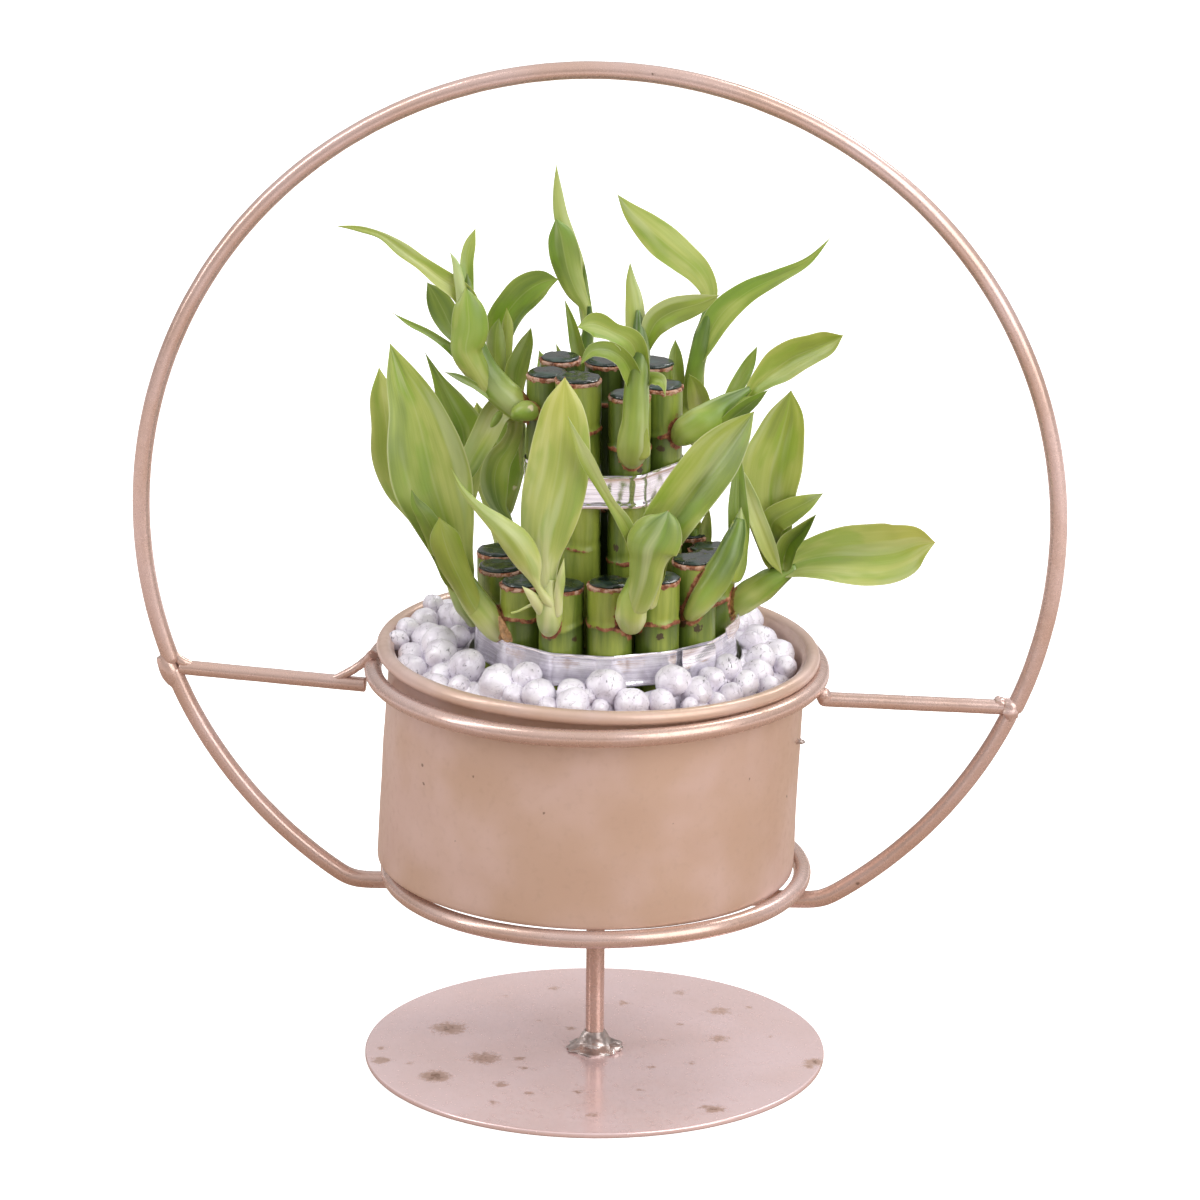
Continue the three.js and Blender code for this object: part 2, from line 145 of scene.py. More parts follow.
def end_fans(rows: int, cols: int, foot: int, head: int) -> Array:
    """Triangles from a grid's first row to the corner foot and from its last row to head."""
    j, last = np.arange(cols), (rows - 1) * cols
    fan = np.stack([(j + 1) % cols, j, np.full(cols, foot)], -1)
    lid = np.stack([last + j, last + (j + 1) % cols, np.full(cols, head)], -1)
    return np.vstack([fan, lid])


def flat_marks(marks: dict[str, Array] | None, poles: bool) -> dict[str, Array]:
    """Marks of a grid as lists, with the first and last row's mean added where it has poles."""
    out = {}
    for name, mark in (marks or {}).items():
        flat = mark.reshape(-1, *mark.shape[2:])
        ends = [mark[:1].mean(axis=1), mark[-1:].mean(axis=1)] if poles else []
        out[name] = np.concatenate([flat, *ends])
    return out


def tube(
    points: Array, marks: dict[str, Array] | None = None, zone: Array | None = None
) -> Skin:
    """A skin closed round its columns, each end shut by a fan to the middle of its last row.

    Args:
        points: grid of corners, rows by columns by 3.
        marks: grids of marks on the same corners.
        zone: finish of each row of quads.

    Returns:
        The closed skin.
    """
    rows, cols = points.shape[:2]
    poles = np.stack([points[0].mean(axis=0), points[-1].mean(axis=0)])
    return Skin(
        np.vstack([points.reshape(-1, 3), poles]),
        grid_quads(rows, cols, False),
        end_fans(rows, cols, rows * cols, rows * cols + 1),
        flat_marks(marks, True),
        None if zone is None else np.repeat(zone, cols),
        None if zone is None else np.repeat([zone[0], zone[-1]], cols),
    )


def loop(points: Array, marks: dict[str, Array] | None = None) -> Skin:
    """A skin like a ring, closed along its rows and its columns."""
    rows, cols = points.shape[:2]
    no_tris = np.zeros((0, 3), int)
    return Skin(points.reshape(-1, 3), grid_quads(rows, cols, True), no_tris, flat_marks(marks, False))


def clamped(values: Array) -> Array:
    """The values kept between 0 and 1."""
    return np.clip(values, 0, 1)


def bell(distance: Array, width: float | Array) -> Array:
    """exp(-(distance / width)^2)."""
    return np.exp(-((distance / width) ** 2))


def unit(vectors: Array) -> Array:
    """The vectors divided by their lengths."""
    return vectors / np.maximum(np.linalg.norm(vectors, axis=-1, keepdims=True), 1e-9)


def ripple(points: Array, size: float, seed: int) -> Array:
    """Smooth noise from about -1 to 1: the mean of seven sine waves of seeded directions.

    Args:
        points: places, any shape by 3, in millimetres.
        size: wavelength in millimetres.
        seed: which noise.

    Returns:
        One number for each place.
    """
    waves, gain = 7, 1.8
    rng = np.random.default_rng(seed)
    ways = unit(rng.normal(size=(waves, 3))) * (TURN / size) * rng.uniform(0.6, 1.5, (waves, 1))
    return np.sin(points @ ways.T + rng.uniform(0, 6.28, waves)).mean(axis=-1) * gain


def through(rows: Sequence[Row] | Array, where: Array) -> Array:
    """A smooth line through rows of numbers, whose first three are a place.

    Cubic Hermite pieces over the chord length, each slope being that of the chord between
    a row's two neighbours. where runs from 0 to 1 along the chord length.
    """
    rows = np.array(rows, float)
    t = lengths(rows[:, :3])
    t = t / t[-1]
    slope = np.gradient(rows, t, axis=0)
    slope[1:-1] = (rows[2:] - rows[:-2]) / (t[2:] - t[:-2])[:, None]
    i = np.clip(np.searchsorted(t, where, side="right") - 1, 0, len(t) - 2)
    step = (t[i + 1] - t[i])[:, None]
    u = (where - t[i])[:, None] / step
    near, far = (2 * u**3 - 3 * u**2 + 1) * rows[i], (3 * u**2 - 2 * u**3) * rows[i + 1]
    leave, arrive = (u**3 - 2 * u**2 + u) * slope[i] * step, (u**3 - u**2) * slope[i + 1] * step
    return near + leave + far + arrive


def frames(path: Array, lean: Array) -> tuple[Array, Array, Array]:
    """Directions along a path: its tangent, tangent x lean, and the one square to both."""
    along = unit(np.gradient(path, axis=0))
    across = unit(np.cross(along, lean))
    return along, across, np.cross(across, along)


def rolled(side: Array, up: Array, angle: float) -> tuple[Array, Array]:
    """Two directions turned in their own plane: side cos a + up sin a, up cos a - side sin a."""
    c, s = math.cos(angle), math.sin(angle)
    return side * c + up * s, up * c - side * s


def swept(
    path: Array, radius: Array, sides: int, lean: Array = BACKWARDS
) -> tuple[Array, Array]:
    """A round section carried along a path: path + radius (cos a, sin a) in its frame.

    Args:
        path: places along the path, n by 3.
        radius: n radii.
        sides: how many corners round the section.
        lean: a direction that the path never takes.

    Returns:
        The grid of corners, and their flow: (radius cos a, radius sin a, length so far).
    """
    _, across, up = frames(path, lean)
    angle = round_angles(sides)
    c, s = radius[:, None] * np.cos(angle), radius[:, None] * np.sin(angle)
    points = path[:, None] + c[..., None] * across[:, None] + s[..., None] * up[:, None]
    return points, stacked(c, s, lengths(path)[:, None])


def turned(profile: Array, sides: int) -> Array:
    """A profile of radius and height turned about the Z axis: (r sin a, -r cos a, z)."""
    angle, r = round_angles(sides), profile[:, :1]
    return stacked(r * np.sin(angle), -r * np.cos(angle), profile[:, 1:2])


def ball_grid(polar: Array, sides: int) -> Array:
    """Rows of a unit sphere at polar angles p in degrees: (sin p cos a, sin p sin a, cos p)."""
    polar, angle = np.radians(polar)[:, None], round_angles(sides)
    return stacked(np.sin(polar) * np.cos(angle), np.sin(polar) * np.sin(angle), np.cos(polar))


def arc(radius: float, start: float, end: float, count: int) -> Array:
    """Corners of a circle's arc as pairs radius (cos a, sin a), from start to end in degrees."""
    angle = np.radians(np.linspace(start, end, count))
    return radius * np.stack([np.cos(angle), np.sin(angle)], -1)


def cut_rod(path: Array, diameter: float, edge: float, seed: int, steps: int) -> Skin:
    """A rod with a slightly uneven skin and a softened edge at each cut end.

    The radius is diameter/2 along it. Within edge of an end it follows a quarter circle:
    radius - edge (1 - sqrt(1 - (1 - d/edge)^2)), where d is the distance to the end.

    Args:
        path: dense places along the rod's middle.
        diameter: the rod's diameter.
        edge: how far its ends are rounded.
        seed: which unevenness.
        steps: rows along it.

    Returns:
        The closed skin with its flow.
    """
    length = lengths(path)
    near = edge * np.array([0, 0.08, 0.3, 0.6, 1])
    where = np.concatenate([near, np.linspace(0, length[-1], steps)[1:-1], length[-1] - near[::-1]])
    where = np.unique(np.clip(where, 0, length[-1]))
    line = np.stack([np.interp(where, length, path[:, k]) for k in range(3)], -1)
    away = np.minimum(np.minimum(where, length[-1] - where) / edge, 1)
    radius = diameter / 2 - edge * (1 - np.sqrt(np.maximum(1 - (1 - away) ** 2, 0)))
    points, flow = swept(line, radius, 20)
    middle = line[:, None]
    points = middle + (points - middle) * (1 + 0.012 * ripple(points, 9, seed)[..., None])
    return tube(points, {"flow": flow})


def weld_lump(centre: Row, size: Row, seed: int) -> Skin:
    """A lump of weld: an ellipsoid of three half sizes pushed about by noise."""
    ball = ball_grid(np.linspace(8, 172, 14), 20)
    points = ball * (1 + 0.16 * ripple(ball * 3 + np.array(centre), 2.6, seed)[..., None])
    return tube(points * np.array(size) + np.array(centre))


def weld_run(rows: Sequence[Row], seed: int) -> Skin:
    """A run of weld along a line: rows of place and radius, swept and made uneven."""
    line = through(rows, np.linspace(0, 1, 26))
    points, flow = swept(line[:, :3], line[:, 3], 12)
    points += (0.12 * ripple(points, 2.4, seed))[..., None] * np.array([0.3, 1, 1])
    return tube(points, {"flow": flow})


# ---------- node trees and finishes


def colour(code: str) -> tuple[float, float, float, float]:
    """A hex colour as linear red, green, blue and alpha."""
    parts = [int(code[i : i + 2], 16) / 255 for i in (0, 2, 4)]
    linear = [p / 12.92 if p <= 0.04045 else ((p + 0.055) / 1.055) ** 2.4 for p in parts]
    return (*linear, 1.0)


class Desk:
    """Places nodes in one node tree and joins them."""

    def __init__(self, tree: bpy.types.NodeTree) -> None:
        """Works on the given node tree."""
        self.tree = tree

    def put(self, kind: str, inputs: dict[Any, Any] | None = None, **settings: Any) -> Node:
        """Adds a node.

        Args:
            kind: the node's type name.
            inputs: values, or sockets to join, by the input's name or number.
            settings: the node's own properties.

        Returns:
            The new node.
        """
        node = self.tree.nodes.new(kind)
        for name, value in settings.items():
            setattr(node, name, value)
        self.feed(node, inputs or {})
        return node

    def feed(self, node: Node, inputs: dict[Any, Any]) -> None:
        """Sets a node's inputs, or joins sockets to them, by the input's name or number."""
        for name, value in inputs.items():
            if isinstance(value, Socket):
                self.tree.links.new(value, node.inputs[name])
            else:
                node.inputs[name].default_value = value

    def mark(self, name: str, part: str = "Fac") -> Socket:
        """A mark read from the mesh: part is Fac for a number and Vector for a vector."""
        return self.put("ShaderNodeAttribute", attribute_name=name).outputs[part]

    def place(self) -> Socket:
        """The place on the object, in metres."""
        return self.put("ShaderNodeTexCoord").outputs["Object"]

    def scaled(self, vector: Socket, scale: Row) -> Socket:
        """The vector with its parts multiplied by scale."""
        return self.put("ShaderNodeMapping", {"Vector": vector, "Scale": scale}).outputs["Vector"]

    def noise(self, vector: Socket, scale: Any, detail: float = 3, rough: float = 0.55) -> Socket:
        """Noise from 0 to 1 at so many waves to the unit."""
        inputs = {"Vector": vector, "Scale": scale, "Detail": detail, "Roughness": rough}
        return self.put("ShaderNodeTexNoise", inputs).outputs["Fac"]

    def remap(self, value: Socket, low: float, high: float, to: Row = (0.0, 1.0)) -> Socket:
        """Smooth step of a value between low and high, onto the range to."""
        inputs = {"Value": value, "From Min": low, "From Max": high, "To Min": to[0], "To Max": to[1]}
        return self.put("ShaderNodeMapRange", inputs, interpolation_type="SMOOTHSTEP").outputs["Result"]

    def maths(self, kind: str, a: Any, b: Any = 0.0) -> Socket:
        """Two values worked out together, such as by MAXIMUM, or one by ABSOLUTE."""
        return self.put("ShaderNodeMath", {0: a, 1: b}, operation=kind).outputs[0]

    def plus(self, a: Any, b: Any) -> Socket:
        """a + b."""
        return self.maths("ADD", a, b)

    def times(self, a: Any, b: Any) -> Socket:
        """a times b."""
        return self.maths("MULTIPLY", a, b)

    def stirred(self, value: Socket, noise: Socket, width: float, spread: float = 0.2) -> Socket:
        """The value moved by up to width either way as noise runs from 0.5 - spread to 0.5 + spread."""
        return self.plus(value, self.remap(noise, 0.5 - spread, 0.5 + spread, (-width, width)))

    def mix(self, mask: Any, first: Any, second: Any) -> Socket:
        """The first colour where the mask is 0 and the second where it is 1."""
        return self.put("ShaderNodeMix", {0: mask, 6: first, 7: second}, data_type="RGBA").outputs[2]

    def tint(self, under: Socket, code: str, mask: Socket, strength: float | None = None) -> Socket:
        """The colour under, turned to a hex colour by the mask, times a strength where given."""
        return self.mix(mask if strength is None else self.times(mask, strength), under, colour(code))

    def ramp(self, value: Socket, stops: Stops) -> Socket:
        """A value's colour on a ramp."""
        node = self.put("ShaderNodeValToRGB", {"Fac": value})
        points = node.color_ramp.elements
        while len(points) < len(stops):
            points.new(0.5)
        for point, (where, code) in zip(points, stops):
            point.position, point.color = where, colour(code)
        return node.outputs["Color"]

    def bump(self, height: Socket, strength: float, distance: float) -> Socket:
        """A normal bent by a height, whose full step is distance in metres."""
        inputs = {"Height": height, "Strength": strength, "Distance": distance}
        return self.put("ShaderNodeBump", inputs).outputs["Normal"]

    def dress(self, shader: Node, tone: Socket, rough: Socket, normal: Socket) -> None:
        """Feeds a shader its colour, roughness and normal."""
        self.feed(shader, {"Base Color": tone, "Roughness": rough, "Normal": normal})


class Effects:
    """Node groups for effects that several finishes share, each built once."""

    _built: dict[str, bpy.types.NodeTree] = {}

    @classmethod
    def _group(cls, name: str, values: dict[str, float | None], outputs: Sequence[str]) -> Desk:
        """Starts a group: an input without a value is a vector, and every output is a number."""
        tree = bpy.data.node_groups.new(name, "ShaderNodeTree")
        for title, value in values.items():
            kind = "NodeSocketVector" if value is None else "NodeSocketFloat"
            socket = tree.interface.new_socket(title, in_out="INPUT", socket_type=kind)
            if value is not None:
                socket.default_value = value
        for title in outputs:
            tree.interface.new_socket(title, in_out="OUTPUT", socket_type="NodeSocketFloat")
        cls._built[name] = tree
        return Desk(tree)

    @classmethod
    def _use(cls, desk: Desk, name: str, inputs: dict[str, Any]) -> Node:
        """Places a group, which is built on its first use, in a finish."""
        if name not in cls._built:
            getattr(cls, f"_build_{name}")()
        return desk.put("ShaderNodeGroup", inputs, node_tree=cls._built[name])

    @classmethod
    def streaks(cls, desk: Desk, flow: Socket, across: float, along: float) -> tuple[Socket, Socket]:
        """Fine and broad streaks along the flow, at so many waves to the millimetre each way."""
        node = cls._use(desk, "streaks", {"Flow": flow, "Across": across, "Along": along})
        return node.outputs["Fine"], node.outputs["Broad"]

    @classmethod
    def specks(cls, desk: Desk, place: Socket, scale: float, size: float, amount: float) -> Socket:
        """Small scattered specks: cells to the metre, a speck's share of its cell, and how many."""
        inputs = {"Vector": place, "Scale": scale, "Size": size, "Amount": amount}
        return cls._use(desk, "specks", inputs).outputs["Mask"]

    @classmethod
    def clouds(cls, desk: Desk, place: Socket, scale: float) -> tuple[Socket, Socket]:
        """Slow drifts of tone over a surface, and a finer grain."""
        node = cls._use(desk, "clouds", {"Vector": place, "Scale": scale})
        return node.outputs["Drift"], node.outputs["Grain"]

    @classmethod
    def _build_streaks(cls) -> None:
        """Streaks: noise on the flow with its length pressed together."""
        desk = cls._group("streaks", {"Flow": None, "Across": 1.0, "Along": 0.04}, ["Fine", "Broad"])
        gate = desk.put("NodeGroupInput").outputs
        scale = desk.put("ShaderNodeCombineXYZ", {0: gate["Across"], 1: gate["Across"], 2: gate["Along"]})
        factors = {0: gate["Flow"], 1: scale.outputs[0]}
        pressed = desk.put("ShaderNodeVectorMath", factors, operation="MULTIPLY").outputs[0]
        streaks = {"Fine": desk.noise(pressed, 1.0, 4, 0.6), "Broad": desk.noise(pressed, 0.22, 2, 0.5)}
        desk.put("NodeGroupOutput", streaks)

    @classmethod
    def _build_specks(cls) -> None:
        """Specks: warped cells nearer than Size to their middle, thinned to Amount of them."""
        values = {"Vector": None, "Scale": 300.0, "Size": 0.2, "Amount": 0.3}
        desk = cls._group("specks", values, ["Mask"])
        gate = desk.put("NodeGroupInput").outputs
        warp = desk.put("ShaderNodeTexNoise", {"Vector": gate["Vector"], "Scale": 900.0, "Detail": 2.0})
        shift = {0: warp.outputs["Color"], "Scale": 0.0012}
        push = desk.put("ShaderNodeVectorMath", shift, operation="SCALE").outputs[0]
        moved = desk.put("ShaderNodeVectorMath", {0: gate["Vector"], 1: push}, operation="ADD").outputs[0]
        cells = desk.put("ShaderNodeTexVoronoi", {"Vector": moved, "Scale": gate["Scale"]}).outputs
        edge = desk.times(gate["Size"], 0.6)
        span = {"Value": cells["Distance"], "From Min": edge, "From Max": gate["Size"]}
        near = desk.put("ShaderNodeMapRange", {**span, "To Min": 1.0, "To Max": 0.0}).outputs["Result"]
        pick = desk.put("ShaderNodeSeparateColor", {"Color": cells["Color"]}).outputs[0]
        kept = desk.maths("LESS_THAN", pick, gate["Amount"])
        desk.put("NodeGroupOutput", {"Mask": desk.times(near, kept)})

    @classmethod
    def _build_clouds(cls) -> None:
        """Clouds: two noises, the grain fourteen times as fine as the drift."""
        desk = cls._group("clouds", {"Vector": None, "Scale": 30.0}, ["Drift", "Grain"])
        gate = desk.put("NodeGroupInput").outputs
        slow = {"Vector": gate["Vector"], "Scale": gate["Scale"], "Detail": 3.0}
        fine = {"Vector": gate["Vector"], "Scale": desk.times(gate["Scale"], 14.0), "Detail": 4.0}
        drift, grain = (desk.put("ShaderNodeTexNoise", inputs).outputs["Fac"] for inputs in (slow, fine))
        desk.put("NodeGroupOutput", {"Drift": drift, "Grain": grain})


def new_material(name: str, **shader: Any) -> tuple[Material, Desk, Node]:
    """An empty material.

    Args:
        name: the material's name.
        shader: uniform values for the Principled shader, spaces in names written as _.

    Returns:
        The material, its desk and its Principled shader.
    """
    material = bpy.data.materials.new(name)
    material.use_nodes = True
    node = material.node_tree.nodes["Principled BSDF"]
    desk = Desk(material.node_tree)
    desk.feed(node, {title.replace("_", " "): value for title, value in shader.items()})
    return material, desk, node


@dataclass(frozen=True)
class PaintFinish:
    """Pale metallic lacquer on steel, with drifts of pink, grain, scuffs and small chips."""

    name: str
    base: str
    drift: str
    dark: str
    roughness: float
    metal: float
    chips: float = 0.06
    rust: bool = False
    coat: float = 0.2
    primer: str = "6b5546"
    rust_edge: str = "a58468"
    rust_core: str = "7a553c"

    def material(self) -> Material:
        """The lacquer as a material."""
        settings = {"Metallic": self.metal, "Coat_Weight": self.coat, "Coat_Roughness": 0.12}
        material, desk, shader = new_material(self.name, **settings)
        place = desk.place()
        drift, grain = Effects.clouds(desk, place, 34.0)
        chip = Effects.specks(desk, place, 210.0, 0.13, self.chips)
        tone = desk.mix(desk.remap(drift, 0.35, 0.68), colour(self.base), colour(self.drift))
        tone = desk.tint(tone, self.dark, desk.remap(grain, 0.5, 0.85, (0.0, 0.14)))
        tone = desk.tint(tone, self.primer, chip, 0.75)
        rough = desk.remap(grain, 0.3, 0.8, (self.roughness - 0.05, self.roughness + 0.09))
        if self.rust:
            stain = desk.stirred(desk.mark("rust"), desk.noise(place, 900.0, 3, 0.6), 0.22)
            soft = desk.remap(stain, 0.1, 0.55)
            tone = desk.tint(tone, self.rust_edge, soft, 0.66)
            tone = desk.tint(tone, self.rust_core, desk.remap(stain, 0.66, 1.05, (0.0, 0.8)))
            rough = desk.plus(rough, desk.times(soft, 0.35))
        height = desk.plus(desk.times(grain, 0.35), desk.times(chip, -1.0))
        desk.dress(shader, tone, rough, desk.bump(height, 0.12, 0.0001))
        return material


@dataclass(frozen=True)
class WeldFinish:
    """A rough bead of weld, silver and grey with paint caught in it."""

    name: str = "weld_bead"
    tones: Stops = ((0.3, "857a76"), (0.5, "bdb0ab"), (0.68, "ece4e0"))

    def material(self) -> Material:
        """The weld as a material."""
        material, desk, shader = new_material(self.name, Metallic=0.75)
        drift, _ = Effects.clouds(desk, desk.place(), 240.0)
        rough = desk.remap(drift, 0.3, 0.7, (0.5, 0.25))
        desk.dress(shader, desk.ramp(drift, self.tones), rough, desk.bump(drift, 0.8, 0.0006))
        return material


@dataclass(frozen=True)
class BeadFinish:
    """White pearly coating on clay balls, with grey wear, pits and black scratches."""

    name: str = "pearly_bead"
    tones: Stops = ((0.28, "cac2cc"), (0.44, "e6e0ea"), (0.62, "f7f3fa"))
    scratched: str = "5e5660"
    cracked: str = "8d8590"
    clay: str = "2c2830"

    def material(self) -> Material:
        """The coating as a material."""
        settings = {"Coat_Weight": 0.35, "Coat_Roughness": 0.2, "Metallic": 0.12}
        material, desk, shader = new_material(self.name, **settings)
        place = desk.place()
        drift, grain = Effects.clouds(desk, place, 190.0)
        tone = desk.ramp(drift, self.tones)
        dirty = desk.remap(desk.noise(place, 105.0, 2), 0.48, 0.64)
        scratch = desk.noise(desk.scaled(place, (1300.0, 420.0, 700.0)), 1.0, 3, 0.6)
        tone = desk.tint(tone, self.scratched, desk.times(desk.remap(scratch, 0.6, 0.7), dirty))
        cells = {"Vector": place, "Scale": 420.0}
        crack = desk.put("ShaderNodeTexVoronoi", cells, feature="DISTANCE_TO_EDGE").outputs["Distance"]
        line = desk.times(desk.remap(crack, 0.0, 0.05, (1.0, 0.0)), desk.remap(scratch, 0.45, 0.6))
        tone = desk.tint(tone, self.cracked, line, 0.45)
        pit = Effects.specks(desk, place, 330.0, 0.16, 0.09)
        tone = desk.tint(tone, self.clay, pit, 0.85)
        height = desk.maths("SUBTRACT", grain, desk.times(desk.maths("MAXIMUM", line, pit), 0.8))
        rough = desk.remap(grain, 0.3, 0.8, (0.28, 0.5))
        desk.dress(shader, tone, rough, desk.bump(height, 0.5, 0.00025))
        return material


@dataclass(frozen=True)
class RibbonFinish:
    """Silver foil ribbon, mirror bright with fine pulled lines."""

    name: str
    rough: float
    metal: float
    bright: str = "f6f4fa"
    dull: str = "dcd8e2"

    def material(self) -> Material:
        """The foil as a material."""
        material, desk, shader = new_material(self.name, Metallic=self.metal)
        place = desk.place()
        lines = desk.noise(desk.scaled(place, (60.0, 60.0, 2400.0)), 1.0, 2, 0.5)
        crease = desk.noise(place, 160.0, 2, 0.5)
        tone = desk.mix(desk.remap(lines, 0.4, 0.7), colour(self.bright), colour(self.dull))
        rough = desk.remap(crease, 0.3, 0.7, (self.rough, self.rough + 0.1))
        height = desk.plus(desk.times(lines, 0.25), crease)
        desk.dress(shader, tone, rough, desk.bump(height, 0.22, 0.0006))
        return material


@dataclass(frozen=True)
class CaneFinish:
    """The skin of a cut cane: green with streaks and painted shade, brown scars at its nodes and below its
    cut.
    """

    name: str = "cane_skin"
    greens: Stops = (
        (0.0, "b2b55c"), (0.3, "93a03f"), (0.6, "5d7026"), (1.0, "22310e"),
    )
    barks: Stops = ((0.32, "572b1a"), (0.5, "8f5335"), (0.7, "bb8862"))
    # The next colour is for painted glints: pale flecks on the bark rim below the cut.
    rim_glint: str = "d0ab98"
    spot: str = "3c2413"

    def material(self) -> Material:
        """The skin as a material."""
        settings = {"Coat_Weight": 0.12, "Coat_Roughness": 0.25, "Subsurface_Weight": 0.05}
        settings |= {"Subsurface_Radius": (1.0, 1.2, 0.4), "Subsurface_Scale": 0.001}
        material, desk, shader = new_material(self.name, **settings)
        place = desk.place()
        fine, broad = Effects.streaks(desk, desk.mark("flow", "Vector"), 0.9, 0.09)
        # The deep mark is each cane's own green plus painted shade on the side that faces its neighbours.
        tone = desk.stirred(desk.stirred(desk.mark("deep"), fine, 0.06), broad, 0.1, 0.15)
        skin = desk.ramp(tone, self.greens)
        ragged = desk.noise(place, 900.0, 3, 0.6)
        scar = desk.remap(desk.stirred(desk.mark("scar"), ragged, 0.2), 0.36, 0.66)
        bark = desk.ramp(desk.noise(place, 620.0, 3, 0.6), self.barks)
        # Painted glints: pale flecks laid by noise on the rim below the cut.
        rim_glints = desk.remap(desk.noise(place, 480.0, 3, 0.65), 0.44, 0.6, (0.0, 0.85))
        bark = desk.tint(bark, self.rim_glint, desk.times(desk.mark("rim"), rim_glints))
        skin = desk.mix(scar, skin, bark)
        speck = Effects.specks(desk, place, 190.0, 0.16, 0.16)
        dark = desk.remap(desk.stirred(desk.mark("spot"), ragged, 0.35), 0.35, 0.6)
        dark = desk.maths("MAXIMUM", desk.times(speck, 0.8), dark)
        skin = desk.tint(skin, self.spot, dark, 0.9)
        rough = desk.plus(0.36, desk.times(scar, 0.34))
        height = desk.plus(desk.times(fine, 0.4), desk.times(desk.times(scar, ragged), 0.6))
        desk.dress(shader, skin, rough, desk.bump(height, 0.5, 0.0004))
        return material


@dataclass(frozen=True)
class WaxFinish:
    """Dark green sealing wax on a cane's cut top."""

    name: str = "sealing_wax"
    tones: Stops = ((0.3, "0a1310"), (0.52, "172a24"), (0.72, "364a43"))

    def material(self) -> Material:
        """The wax as a material."""
        material, desk, shader = new_material(self.name, Coat_Weight=0.5, Coat_Roughness=0.15)
        drift, _ = Effects.clouds(desk, desk.place(), 150.0)
        rough = desk.remap(drift, 0.3, 0.7, (0.2, 0.4))
        desk.dress(shader, desk.ramp(drift, self.tones), rough, desk.bump(drift, 0.5, 0.0008))
        return material


@dataclass(frozen=True)
class LeafFinish:
    """A leaf's skin: veins along the blade, deeper patches, painted sheen, bloom, yellow, and pale edges."""

    name: str = "leaf_skin"
    greens: Stops = (
        (0.0, "d0d4a0"), (0.28, "abb761"), (0.52, "859b3a"), (0.78, "567327"), (1.0, "304b1b"),
    )
    dry: Stops = ((0.35, "7a4424"), (0.65, "bd8458"))
    lush: str = "739a22"
    # The next colour is painted sheen: a pale green laid in patches as a painted highlight.
    painted_sheen: str = "c2cda0"
    yellow: str = "c6b94e"
    bloom: str = "b4c795"
    edge: str = "ccd09a"
    midrib: str = "ccd094"
    speck: str = "e4d8b4"

    def material(self) -> Material:
        """The skin as a material."""
        settings = {"Coat_Weight": 0.15, "Coat_Roughness": 0.25, "Subsurface_Weight": 0.1}
        settings |= {"Subsurface_Radius": (0.8, 1.0, 0.3), "Subsurface_Scale": 0.0015}
        material, desk, shader = new_material(self.name, **settings)
        flow, place = desk.mark("flow", "Vector"), desk.place()
        fine, broad = Effects.streaks(desk, flow, 1.3, 0.035)
        patch = desk.noise(desk.scaled(flow, (0.13, 1.0, 0.035)), 1.0, 2, 0.5)
        tone = desk.stirred(desk.stirred(desk.mark("green"), fine, 0.035), broad, 0.05, 0.18)
        skin = desk.ramp(desk.plus(tone, desk.remap(patch, 0.34, 0.66, (-0.17, 0.15))), self.greens)
        lush = desk.noise(desk.scaled(flow, (0.17, 1.0, 0.05)), 1.3, 2, 0.5)
        skin = desk.tint(skin, self.lush, desk.remap(lush, 0.5, 0.66, (0.0, 0.55)))
        # Painted sheen: pale patches laid by noise along the blade stand in for the leaves' gloss.
        painted_sheen = desk.noise(desk.scaled(flow, (0.21, 1.7, 0.028)), 1.0, 2, 0.5)
        skin = desk.tint(skin, self.painted_sheen, desk.remap(painted_sheen, 0.51, 0.7, (0.0, 0.42)))
        skin = desk.tint(skin, self.yellow, desk.mark("yellow"), 0.85)
        frost = desk.times(desk.mark("bloom"), desk.remap(broad, 0.3, 0.6, (0.45, 1.0)))
        skin = desk.tint(skin, self.bloom, frost)
        side = desk.maths("ABSOLUTE", desk.mark("side"))
        skin = desk.tint(skin, self.edge, desk.remap(side, 0.94, 0.99, (0.0, 0.45)))
        skin = desk.tint(skin, self.midrib, desk.remap(side, 0.0, 0.06, (0.16, 0.0)))
        brown = desk.remap(desk.plus(desk.mark("scar"), desk.noise(place, 700.0, 3)), 0.95, 1.2)
        dry = desk.ramp(desk.noise(place, 1100.0, 2), self.dry)
        skin = desk.mix(desk.times(brown, 0.85), skin, dry)
        skin = desk.tint(skin, self.speck, Effects.specks(desk, place, 120.0, 0.12, 0.05), 0.9)
        height = desk.plus(fine, desk.times(patch, 0.6))
        desk.dress(shader, skin, desk.remap(fine, 0.3, 0.7, (0.32, 0.44)), desk.bump(height, 0.25, 0.0003))
        return material


@dataclass(frozen=True)
class FloorFinish:
    """Plain matt paper, seen white; what it sends on is warm and shaded round the object."""

    name: str = "studio_floor"
    near: str = "a8917f"
    far: str = "e2dad8"

    def material(self) -> Material:
        """The paper as a material."""
        settings = {"Roughness": 0.9, "Specular_IOR_Level": 0.1, "Emission_Color": (1, 1, 1, 1)}
        material, desk, shader = new_material(self.name, **settings)
        seen = desk.put("ShaderNodeLightPath").outputs["Is Camera Ray"]
        paper = desk.mix(desk.noise(desk.place(), 3.0, 2), (0.92, 0.92, 0.92, 1), (0.94, 0.94, 0.94, 1))
        reach = desk.put("ShaderNodeVectorMath", {0: desk.place()}, operation="LENGTH").outputs["Value"]
        shade = desk.mix(desk.remap(reach, 0.26, 0.58), colour(self.near), colour(self.far))
        shown = {"Base Color": desk.mix(seen, shade, paper), "Emission Strength": desk.times(seen, 0.5)}
        desk.feed(shader, shown)
        return material


# ---------- pieces


